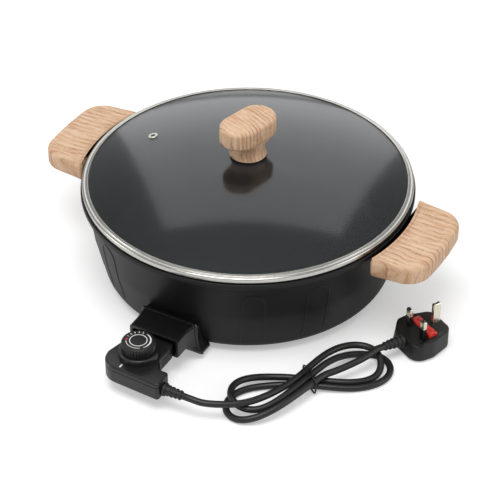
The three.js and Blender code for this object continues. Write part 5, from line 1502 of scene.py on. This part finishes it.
# Clear enough to show the pan, with a grey tint. Its upper face mirrors the room, and it lets the light
# through to the pan below.
shadow = add(tree, "ShaderNodeLightPath", {})
sheet = add(tree, "ShaderNodeBsdfPrincipled",
            {"Base Color": linear("#b9bdc0"), "Roughness": 0.11, "IOR": 1.52, "Transmission Weight": 1.0})
clear = add(tree, "ShaderNodeBsdfTransparent", {"Color": linear("#b4b8bb")})
both = add(tree, "ShaderNodeMixShader",
           {0: shadow.outputs["Is Shadow Ray"], 1: sheet.outputs[0], 2: clear.outputs[0]})
tree.links.new(both.outputs[0], output.inputs["Surface"])


def dome_height(radius):
    return glass_crown - dome_radius + math.sqrt(dome_radius ** 2 - radius ** 2)


def dome_underside(radius):
    return glass_crown - dome_radius + math.sqrt((dome_radius - glass_thickness) ** 2 - radius ** 2)


def on_vent(point):
    """A point on the vent's own axis, which stands square on the glass, its seat at height zero."""
    lean = math.asin(vent_reach / dome_radius)
    leaned = Matrix.Rotation(lean, 3, "Y") @ Vector(point)
    return Matrix.Rotation(vent_turn, 3, "Z") @ (leaned + Vector((vent_reach, 0, dome_height(vent_reach))))


glass_sides = 180
glass_steps = 36
glass_edge = 0.7
glass_radii = [knob_bore + (glass_radius - knob_bore) * (i / glass_steps) ** 0.8
               for i in range(glass_steps + 1)]
glass_profile = [(radius, dome_underside(radius)) for radius in glass_radii[:-1]]
glass_profile += [(glass_radius - glass_edge, dome_underside(glass_radius - glass_edge)),
                  (glass_radius, dome_underside(glass_radius) + glass_edge),
                  (glass_radius, dome_height(glass_radius) - glass_edge),
                  (glass_radius - glass_edge, dome_height(glass_radius - glass_edge))]
glass_profile += [(radius, dome_height(radius)) for radius in reversed(glass_radii[:-1])]
lid_dome = mesh_of("lid_dome", *turned(glass_profile, glass_sides), lid_tint, 40)
cut(lid_dome, bar("vent_hole", on_vent((0, 0, -vent_cut)), on_vent((0, 0, vent_cut)), vent_tube_radius + play,
                  lid_tint, 36))
sharpened(lid_dome, 40)
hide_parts("lid_glass")
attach(lid_dome, "lid")

# Lid rim
# A strip of polished stainless steel, rolled round the edge of the glass: a flat leg on top, a narrow crease
# and a rounded outer bead, with the lower leg tucked under.
# Bright and slightly warm, with fine roll lines that spread its highlights along the strip.
rim_steel = mottled_finish("polished stainless steel strip", drift=(90, 3), tones=("#c4c3bd", "#d6d5cf"),
                           shine=(0.2, 0.28), Metallic=1.0)

rim_top_reach = 6
rim_bottom_reach = 7.5
rim_inner = lid_radius - rim_top_reach
rim_low_inner = lid_radius - rim_bottom_reach
rim_lift = dome_height(rim_inner) + play
rim_seat = rim_bottom + rim_height - rim_sheet
rim_crease_inward = 2.9
rim_crease = lid_radius - rim_crease_inward
rim_crease_top = dome_height(rim_crease) + play * 1.3
rim_crease_floor = rim_crease_top + 0.28
rim_top = rim_seat + rim_sheet
rim_hem = 1.4
rim_sides = 240
rim_profile = rounded(
    [(rim_low_inner, rim_bottom), (lid_radius, rim_bottom), (lid_radius, rim_seat + 0.4),
     (rim_crease + 0.9, rim_top + 0.6), (rim_crease + 0.15, rim_crease_floor),
     (rim_crease - 0.35, rim_crease_floor), (rim_crease - 0.8, rim_top + 0.75),
     (rim_inner, rim_lift + rim_sheet), (rim_inner, rim_lift),
     (rim_crease, rim_crease_top), (lid_radius - rim_sheet * 2.6, rim_seat - 0.05),
     (lid_radius - rim_sheet, rim_seat - 0.8), (lid_radius - rim_sheet, rim_bottom + rim_sheet),
     (rim_low_inner + rim_hem, rim_bottom + rim_sheet), (rim_low_inner + rim_hem, rim_bottom + rim_hem),
     (rim_low_inner, rim_bottom + rim_hem)],
    [0.4, 1.8, 1.5, 1.0, 0.15, 0.15, 0.35, 0.25, 0.1, 0.2, 0.3, 0.5, 0.6, 0.1, 0.5, 0.6], 6)
lid_edge = mesh_of("lid_edge", *turned(rim_profile, rim_sides), rim_steel, 40)
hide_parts("lid_rim")
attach(lid_edge, "lid")

# Steam vent
# A stainless steel eyelet, set through the glass and rolled over on both faces.
vent_under = -glass_thickness - play
vent_profile = rounded(
    [(vent_bore_radius, vent_under - vent_flange), (vent_flange_radius, vent_under - vent_flange),
     (vent_flange_radius, vent_under), (vent_tube_radius, vent_under), (vent_tube_radius, play),
     (vent_flange_radius, play), (vent_flange_radius, play + vent_flange),
     (vent_bore_radius, play + vent_flange)],
    [0.3, 0.35, 0.1, 0, 0, 0.1, 0.7, 0.5], 5)
vent_points, vent_faces = turned(vent_profile, 40)
vent = mesh_of("vent", [on_vent(point) for point in vent_points], vent_faces, rim_steel, 40)
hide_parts("vent_eyelet")
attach(vent, "lid")

# Knob
# Turned and shaped ash: a round neck flares into a long head with rounded edges. A rubber washer lies under
# it, and a steel screw with its own washer comes up through the glass. Growth rings cross the head from side
# to side and stand upright on the neck.
knob_ash = ash_wood("oiled ash, shaped knob", 75, (0.1, 0.22), (130, 15, 0), 4.3, 1.0)
knob_turn = math.radians(75)
knob_gap = 1
knob_base = glass_crown + knob_gap
knob_neck_radius = 18
knob_waist_radius = 16.4
knob_neck_height = 19
knob_head_height = 20
knob_head_bottom = knob_base + knob_neck_height
knob_top = knob_head_bottom + knob_head_height
knob_half_length = 30.8
knob_half_width = 18.6
knob_round = 4.2
knob_foot_round = 0.4
knob_foot_lift = 0.7
knob_flare_length = 8.5
knob_flare_pinch = 1.2
knob_flare_gap = 0.5
knob_under_length = 3.6
knob_under_width = 1.6
knob_dome = 0.5
knob_dome_width = 9
knob_screw_seat = 125.51
knob_screw_length = 26
knob_screw_radius = 2.4
knob_screw_head_radius = 5
knob_screw_head_height = 3


def stadium(half_length, half_width, sides=96):
    """An outline of two half circles and two straight sides, with as many points whatever its size."""
    straight = max(half_length - half_width, 0)
    outline = []
    for k in range(sides):
        angle = 2 * math.pi * (k + 0.5) / sides
        side = straight if math.cos(angle) > 0 else -straight
        outline.append(Vector((side + half_width * math.cos(angle), half_width * math.sin(angle))))
    return outline


knob_foot = knob_base + play
knob_levels = [(knob_foot, knob_neck_radius - knob_foot_round * 2, knob_neck_radius - knob_foot_round * 2),
               (knob_foot, knob_neck_radius - knob_foot_round, knob_neck_radius - knob_foot_round),
               (knob_foot + knob_foot_round, knob_neck_radius, knob_neck_radius)]
neck_steps = 20
for k in range(1, neck_steps + 1):
    share = k / neck_steps
    pinch = math.sin(math.pi * min(share * 1.1, 1)) ** 0.7
    radius = knob_neck_radius - (knob_neck_radius - knob_waist_radius) * pinch
    flare = max((share - 0.5) / 0.5, 0) ** 2.6
    rise = share * (knob_neck_height - knob_foot_lift - knob_flare_gap)
    knob_levels.append((knob_base + knob_foot_lift + rise, radius + flare * knob_flare_length,
                        radius - flare * knob_flare_pinch))
for k in range(8):
    angle = math.pi / 2 * k / 7
    inward = 1 - math.sin(angle)
    knob_levels.append((knob_head_bottom + knob_under_length * (1 - math.cos(angle)),
                        knob_half_length - knob_under_length * inward,
                        knob_half_width - knob_under_width * inward))
for height, inward in upper_edge(knob_top - knob_dome, knob_round, 9):
    knob_levels.append((height, knob_half_length - inward, knob_half_width - inward))
for k in range(1, 6):
    share = k / 5
    inward = knob_round + share * knob_dome_width
    knob_levels.append((knob_top - knob_dome + knob_dome * smooth(share), knob_half_length - inward,
                        knob_half_width - inward))
knob_rings = []
for height, half_length, half_width in knob_levels:
    ring = [Matrix.Rotation(knob_turn, 2) @ point for point in stadium(half_length, half_width)]
    knob_rings.append([Vector((point.x, point.y, height)) for point in ring])
knob = mesh_of("knob", *lofted(knob_rings), knob_ash, 50)
cut(knob, upright_bar("bore", 0, 0, knob_base - cut_past * 2,
                      knob_screw_seat + knob_screw_length + play, knob_bore, knob_ash))
sharpened(knob, 50)
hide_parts("lid_knob")
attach(knob, "lid")


def washer_piece(name, inner, outer, bottom, thickness, edge, material, sides):
    top = bottom + thickness
    profile = rounded([(inner, bottom), (outer, bottom), (outer, top), (inner, top)], [edge] * 4, 4)
    return mesh_of(name, *turned(profile, sides), material, 40)


seal_radius = 17.2
seal_thickness = 0.7
seal_edge = 0.2
knob_seal = washer_piece("knob_seal", knob_bore, seal_radius, glass_crown + play, seal_thickness, seal_edge,
                         foot_rubber, 90)
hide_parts("knob_washer")
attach(knob_seal, "lid")
lower_washer_radius = 9
lower_washer_thickness = 1.2
lower_washer_edge = 0.25
lower_washer = washer_piece("lower_washer", knob_bore, lower_washer_radius, knob_screw_seat + play,
                            lower_washer_thickness, lower_washer_edge, screw_steel, 60)
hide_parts("knob_lower_washer")
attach(lower_washer, "lid")
knob_fixing = screw_piece("knob_fixing", (0, 0, knob_screw_seat), (0, 0, 1), knob_screw_radius,
                          knob_screw_length, knob_screw_head_radius, knob_screw_head_height)
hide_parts("knob_screw")
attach(knob_fixing, "lid")

# Heat control
# A two-part case, moulded in black, whose tongue pushes into the socket. Two screws join it from below, and
# the block behind the tongue has fine ribs at its sides for the fingers.
# A polished mould gives a soft gloss, with a faint flow pattern and slightly rubbed tone on the broad faces.
case_black = mottled_finish("moulded polyamide case, semi-gloss black", drift=(70, 3),
                            tones=("#141414", "#1d1d1d"), shine=(0.26, 0.38), grain=(1500, 2),
                            dents=(0.08, 0.0002), IOR=1.53)

tongue_front = 168
tongue_half = 20
tongue_bottom = 22.4
block_front = 181.5
block_half = 20.5
block_bottom = 19
neck_front = 204
arm_back = 214.5
arm_front = 235
arm_left = 28
arm_neck = 28.5
arm_corner = 17
arm_bottom = 14
case_top = 33
case_wall = 2
case_edge = 2
case_corner = 3
case_gap = 0.15
dial_front = 206
plinth_radius = 18.5
plinth_top = 39.5
plinth_edge = 1.6
spindle_radius = 2.5
probe_radius = 2.5
relief_neck_radius = 3.4
case_screw_radius = 1.2
case_screw_head_radius = 2.8
case_screw_head_height = 1.6
case_screw_sink = 1.2
case_screw_front = 224
case_screw_sides = (-13, 28)
case_post_radius = 4.6
mark_side = -6
mark_front = 227.5
mark_half_width = 0.8
mark_half_length = 2.3
mark_depth = 1.2
case_edge_bevel = 0.35
case_low_steps = 6
case_high_steps = 8
plinth_sides = 96

case_outline = rounded(
    [(tongue_half, -tongue_front), (-tongue_half, -tongue_front), (-tongue_half, -block_front),
     (-arm_left, -arm_back), (-arm_left + case_corner, -arm_front + case_corner), (arm_right, -arm_front),
     (arm_right, -arm_back), (arm_neck, -arm_back), (block_half, -neck_front), (block_half, -block_front)],
    [case_corner] * 3 + [case_corner * 2, arm_corner] + [case_corner] * 5, 9)


def case_block(name, levels):
    return mesh_of(name, *lofted(upright(case_outline, levels)), case_black, 35)


# The boxes that cut below the case reach past it at both sides and behind.
under_side = 70
under_back = 90


def under_cuts(lift, back):
    """What the tongue and the block lack below, where the control is less deep than at its arm."""
    steps = [(arm_back - case_corner + back, block_bottom + lift), (block_front + back, tongue_bottom + lift)]
    low = arm_bottom - cut_past
    return [box_of("under", (-under_side, -front, low), (under_side, -under_back, high), case_black)
            for front, high in steps]


def case_openings():
    outside = tongue_front - cut_past
    inside = tongue_front + case_wall + cut_past
    holes = [level_bar("pin_way", x, outside, inside, terminal_radius + play * 2, case_black)
             for x in (-terminal_side, terminal_side)]
    holes.append(level_bar("probe_way", 0, outside, inside, probe_radius + play, case_black, 28))
    holes.append(bar("cord_way", (arm_right - case_wall - cut_past, relief_tip.y, relief_tip.z),
                     (arm_right + cut_past, relief_tip.y, relief_tip.z), relief_neck_radius + play,
                     case_black, 32))
    return holes


split = terminal_height
low_levels = [(arm_bottom, case_edge + flat_band), *lower_edge(arm_bottom, case_edge, case_low_steps)]
low_levels.append((split - case_gap, 0))
lower_case = case_block("lower_case", low_levels)
cut(lower_case, *under_cuts(0, 0))
room = case_block("room", [(arm_bottom + case_wall, case_wall), (split + cut_past, case_wall)])
cut(room, *under_cuts(case_wall, case_wall))
cut(lower_case, room)
seat = arm_bottom + case_screw_sink + case_screw_head_height
for x in case_screw_sides:
    boolean(lower_case,
            upright_bar("post", x, -case_screw_front, arm_bottom + case_edge / 2, split - case_gap,
                        case_post_radius, case_black), "UNION")
    cut(lower_case,
        upright_bar("head_room", x, -case_screw_front, arm_bottom - cut_past, seat + play,
                    case_screw_head_radius + play, case_black, 32),
        upright_bar("shank_room", x, -case_screw_front, arm_bottom, split + cut_past,
                    case_screw_radius + play,
                    case_black))
cut(lower_case, *case_openings())
sharpened(lower_case, 30)
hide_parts("control_lower_case")
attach(lower_case, "control")

high_levels = [(split + case_gap, case_edge_bevel), (split + case_gap + case_edge_bevel, 0)]
high_levels += upper_edge(case_top, case_edge, case_high_steps)
high_levels.append((case_top, case_edge + flat_band))
upper_case = case_block("upper_case", high_levels)
room_top = case_top - case_wall
cut(upper_case, case_block("room", [(split - cut_past, case_wall), (room_top, case_wall)]))
plinth_profile = rounded(
    [(0, room_top), (plinth_radius, room_top), (plinth_radius, plinth_top), (0, plinth_top)],
    [0, 0, plinth_edge, 0], 8)
plinth_points, plinth_faces = turned(plinth_profile, plinth_sides)
dial_place = Vector((0, -dial_front, 0))
plinth = mesh_of("plinth", [point + dial_place for point in plinth_points], plinth_faces, case_black, 35)
boolean(upper_case, plinth, "UNION")
for x in case_screw_sides:
    boolean(upper_case, upright_bar("post", x, -case_screw_front, split + case_gap, case_top - case_wall / 2,
                                    case_post_radius, case_black), "UNION")
    cut(upper_case, upright_bar("shank_room", x, -case_screw_front, split - cut_past, room_top,
                                case_screw_radius + play, case_black))
mark_room_width = mark_half_width + play
mark_room_length = mark_half_length + play
mark_room = box_of("mark_room",
                   (mark_side - mark_room_width, -mark_front - mark_room_length, case_top - mark_depth),
                   (mark_side + mark_room_width, -mark_front + mark_room_length, case_top + cut_past),
                   case_black)
cut(upper_case,
    upright_bar("plinth_room", 0, -dial_front, room_top - cut_past, plinth_top - case_wall,
                plinth_radius - case_wall, case_black, 64),
    upright_bar("spindle_way", 0, -dial_front, room_top, plinth_top + cut_past, spindle_radius + play,
                case_black),
    mark_room, *case_openings())

finger_ribs = 9
finger_pitch = 1.9
finger_start = 184.5
finger_depth = 0.5
finger_radius = 0.62
finger_low = block_bottom + 1.5
finger_high = case_top - 2.6
finger_side = block_half + finger_radius - finger_depth
finger_sides = 12
for i in range(finger_ribs):
    front = finger_start + finger_pitch * i
    for piece, low, high in ((upper_case, split - cut_past, finger_high),
                             (lower_case, finger_low, split + cut_past)):
        cut(piece, upright_bar("channel", finger_side, -front, low, high, finger_radius, case_black,
                               finger_sides))
sharpened(lower_case, 30)
sharpened(upper_case, 30)
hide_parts("control_upper_case")
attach(upper_case, "control")

case_screws = screw_piece("case_screws", (0, 0, 0), (0, 0, 1), case_screw_radius,
                          case_top - case_wall - play - seat, case_screw_head_radius, case_screw_head_height)
first_screw = metres((case_screw_sides[0], -case_screw_front, seat)) - table_point
grown(case_screws, rib_row, count=2, start=first_screw,
      step=Vector(((case_screw_sides[1] - case_screw_sides[0]) * MM, 0, 0)), last_scale=1.0,
      material=screw_steel)
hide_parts("control_screw_left", "control_screw_right")
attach(case_screws, "control")

# Index mark
# A white bar pressed into the arm's top, which shows the dial's setting.
# Opaque ink, slightly uneven where it was pressed on.
print_white = mottled_finish("white ink on moulded plastic", drift=(900, 2), tones=("#c9c9c6", "#e8e8e5"),
                             shine=[0.5], IOR=1.5)
mark_corner = 0.5
mark_proud = 0.2
mark_bevel = 0.25
mark_outline = rectangle(mark_side, -mark_front, mark_half_width, mark_half_length, mark_corner)
mark_rings = upright(mark_outline, [(case_top - mark_depth + play, 0), (case_top, 0),
                                    (case_top + mark_proud * 0.75, mark_bevel * 0.24),
                                    (case_top + mark_proud, mark_bevel)])
mark = mesh_of("pointer_mark", *lofted(mark_rings), print_white, 40)
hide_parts("index_mark")
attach(mark, "control")

# Dial
# A round knob moulded in matt black, ribbed at its side, whose top carries a printed scale: a ring, a wedge
# that swells with the heat, five figures, a fine line and a red mark for off. Its centre is bare.
# Fine spark texture with a low sheen, a little lighter on its worn ribs.
dial_black = mottled_finish("moulded phenolic dial, matt black", drift=(1400, 2),
                            tones=("#101010", "#181818"), shine=(0.34, 0.46), dents=(0.15, 0.0002), IOR=1.5)

dial_radius = 16
dial_bottom = plinth_top + play
dial_top = 50
dial_round = 2.4
dial_cap = 3.5
dial_rib_count = 36
dial_rib_depth = 0.7
dial_fine = 6
dial_dish = 0.35
dial_foot_edge = 0.4
dial_steps = 8
dial_deck = dial_top - dial_dish
dial_levels = [(dial_bottom, dial_foot_edge), (dial_bottom + dial_foot_edge, 0),
               (dial_top - dial_round - dial_foot_edge, 0)]
dial_levels += upper_edge(dial_deck, dial_round, dial_steps)
dial_levels += [(dial_deck, dial_round + flat_band), (dial_deck, dial_round + flat_band * 2)]
dial_rings = []
for height, inward in dial_levels:
    ring = []
    fade = smooth(1 - inward / dial_round)
    for k in range(dial_rib_count * dial_fine):
        angle = 2 * math.pi * k / (dial_rib_count * dial_fine)
        groove = 0.5 - 0.5 * math.cos(dial_rib_count * angle)
        radius = dial_radius - inward - dial_rib_depth * groove ** 2 * fade
        ring.append(Vector((radius * math.cos(angle), radius * math.sin(angle), height)) + dial_place)
    dial_rings.append(ring)
dial_body = mesh_of("dial_body", *lofted(dial_rings), dial_black, 40)
cut(dial_body, upright_bar("bore", 0, -dial_front, dial_bottom - cut_past, dial_top - dial_cap,
                           spindle_radius + play, dial_black))
sharpened(dial_body, 40)

# The same ink in red, for the off position.
print_red = mottled_finish("red ink on moulded plastic", drift=(900, 2), tones=("#9c1f26", "#bd3038"),
                           shine=[0.5], IOR=1.5)

print_height = dial_deck
print_proud = 0.12
print_sunk = 0.05


def printed_band(first_degrees, last_degrees, middle, half_width_at, material, steps=72):
    """A raised printed line round the dial's centre, with its own width along the way."""
    points = []
    faces = []
    low = print_height - print_sunk
    high = print_height + print_proud
    for i in range(steps + 1):
        share = i / steps
        angle = math.radians(first_degrees + (last_degrees - first_degrees) * share)
        across = Vector((math.cos(angle), math.sin(angle), 0))
        half = half_width_at(share)
        for radius, height in ((middle - half, low), (middle + half, low),
                               (middle + half, high), (middle - half, high)):
            points.append(across * radius + dial_place + Vector((0, 0, height)))
    closed = abs(abs(last_degrees - first_degrees) - 360) < 0.01
    for i in range(steps):
        here = i * 4
        there = (i + 1) % steps * 4 if closed else here + 4
        for k in range(4):
            faces.append((here + k, here + (k + 1) % 4, there + (k + 1) % 4, there + k))
    if closed:
        points = points[:-4]
    else:
        faces += [(0, 1, 2, 3), (steps * 4 + 3, steps * 4 + 2, steps * 4 + 1, steps * 4)]
    return mesh_of("print", points, faces, material, 40)


ring_radius = 8
ring_half_width = 0.42
wedge_radius = 11.4
wedge_thin = 0.12
wedge_swell = 0.66
stroke_radius = 11.2
stroke_half_width = 0.3
off_radius = 11
scale_parts = [
    printed_band(0, 360, ring_radius, lambda share: ring_half_width, print_white, 96),
    printed_band(79, -37, wedge_radius,
                 lambda share: wedge_thin + wedge_swell * math.sin(math.pi * share) ** 0.8, print_white),
    printed_band(-52, -150, stroke_radius, lambda share: stroke_half_width, print_white),
    printed_band(192, 204, off_radius, lambda share: 1.0, print_red, 12)]

figure_radius = 11.3
figure_height = 2.9
figure_first = math.radians(176)
figure_last = math.radians(98)
figure_swell = 0.08
for i in range(5):
    words = bpy.data.curves.new("figure", "FONT")
    words.body = str(i + 1)
    words.size = figure_height * MM
    words.align_x = "CENTER"
    words.align_y = "CENTER"
    words.extrude = print_proud * MM
    words.offset = figure_swell * MM
    figure = shown("figure", words)
    graph = bpy.context.evaluated_depsgraph_get()
    figure_mesh = bpy.data.meshes.new_from_object(figure.evaluated_get(graph))
    bpy.data.objects.remove(figure)
    angle = figure_first + (figure_last - figure_first) * i / 4
    across = Vector((math.cos(angle), math.sin(angle), 0)) * figure_radius
    place = metres(across + dial_place + Vector((0, 0, print_height)))
    turn = Matrix.Rotation(angle - math.pi / 2, 4, "Z")
    figure_mesh.transform(Matrix.Translation(place) @ turn)
    figure_mesh.materials.clear()
    figure_mesh.materials.append(print_white)
    scale_parts.append(shown("figure", figure_mesh))
dial_knob = gathered("dial_knob", [dial_body, *scale_parts])
sharpened(dial_knob, 40)
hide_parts("dial")
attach(dial_knob, "dial")

# Inside the control
# A brass spindle turns the thermostat, a ceramic-bodied switch. A steel probe reaches into the pan's sleeve,
# and two brass sleeves take the terminals.
# Yellow metal with fine turning marks, a little darker where it is handled.
brass = mottled_finish("turned brass", drift=(1200, 2), tones=("#a98343", "#c9a35c"), shine=(0.2, 0.36),
                       Metallic=1.0)

# Off-white and chalky, with a fine grain.
steatite = mottled_finish("fired steatite ceramic, unglazed", drift=(800, 3), tones=("#cfc8b8", "#e3ddd0"),
                          shine=[0.8], dents=(0.2, 0.0002), IOR=1.55)
dressed(brass, "dial_spindle", "contact_sleeve_left", "contact_sleeve_right")
dressed(steatite, "thermostat_body")

probe_tip_front = 149
probe_root_front = 190
probe_profile = [(0, probe_tip_front)]
for k in range(1, 8):
    angle = math.pi / 2 * k / 7
    probe_profile.append((probe_radius * math.sin(angle),
                          probe_tip_front + probe_radius * (1 - math.cos(angle))))
probe_profile += [(probe_radius, probe_root_front), (0, probe_root_front)]
probe = mesh_of("probe", *front_turned(probe_profile, 0, terminal_height, 32), terminal_steel, 30)
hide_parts("probe_rod")
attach(probe, "control")
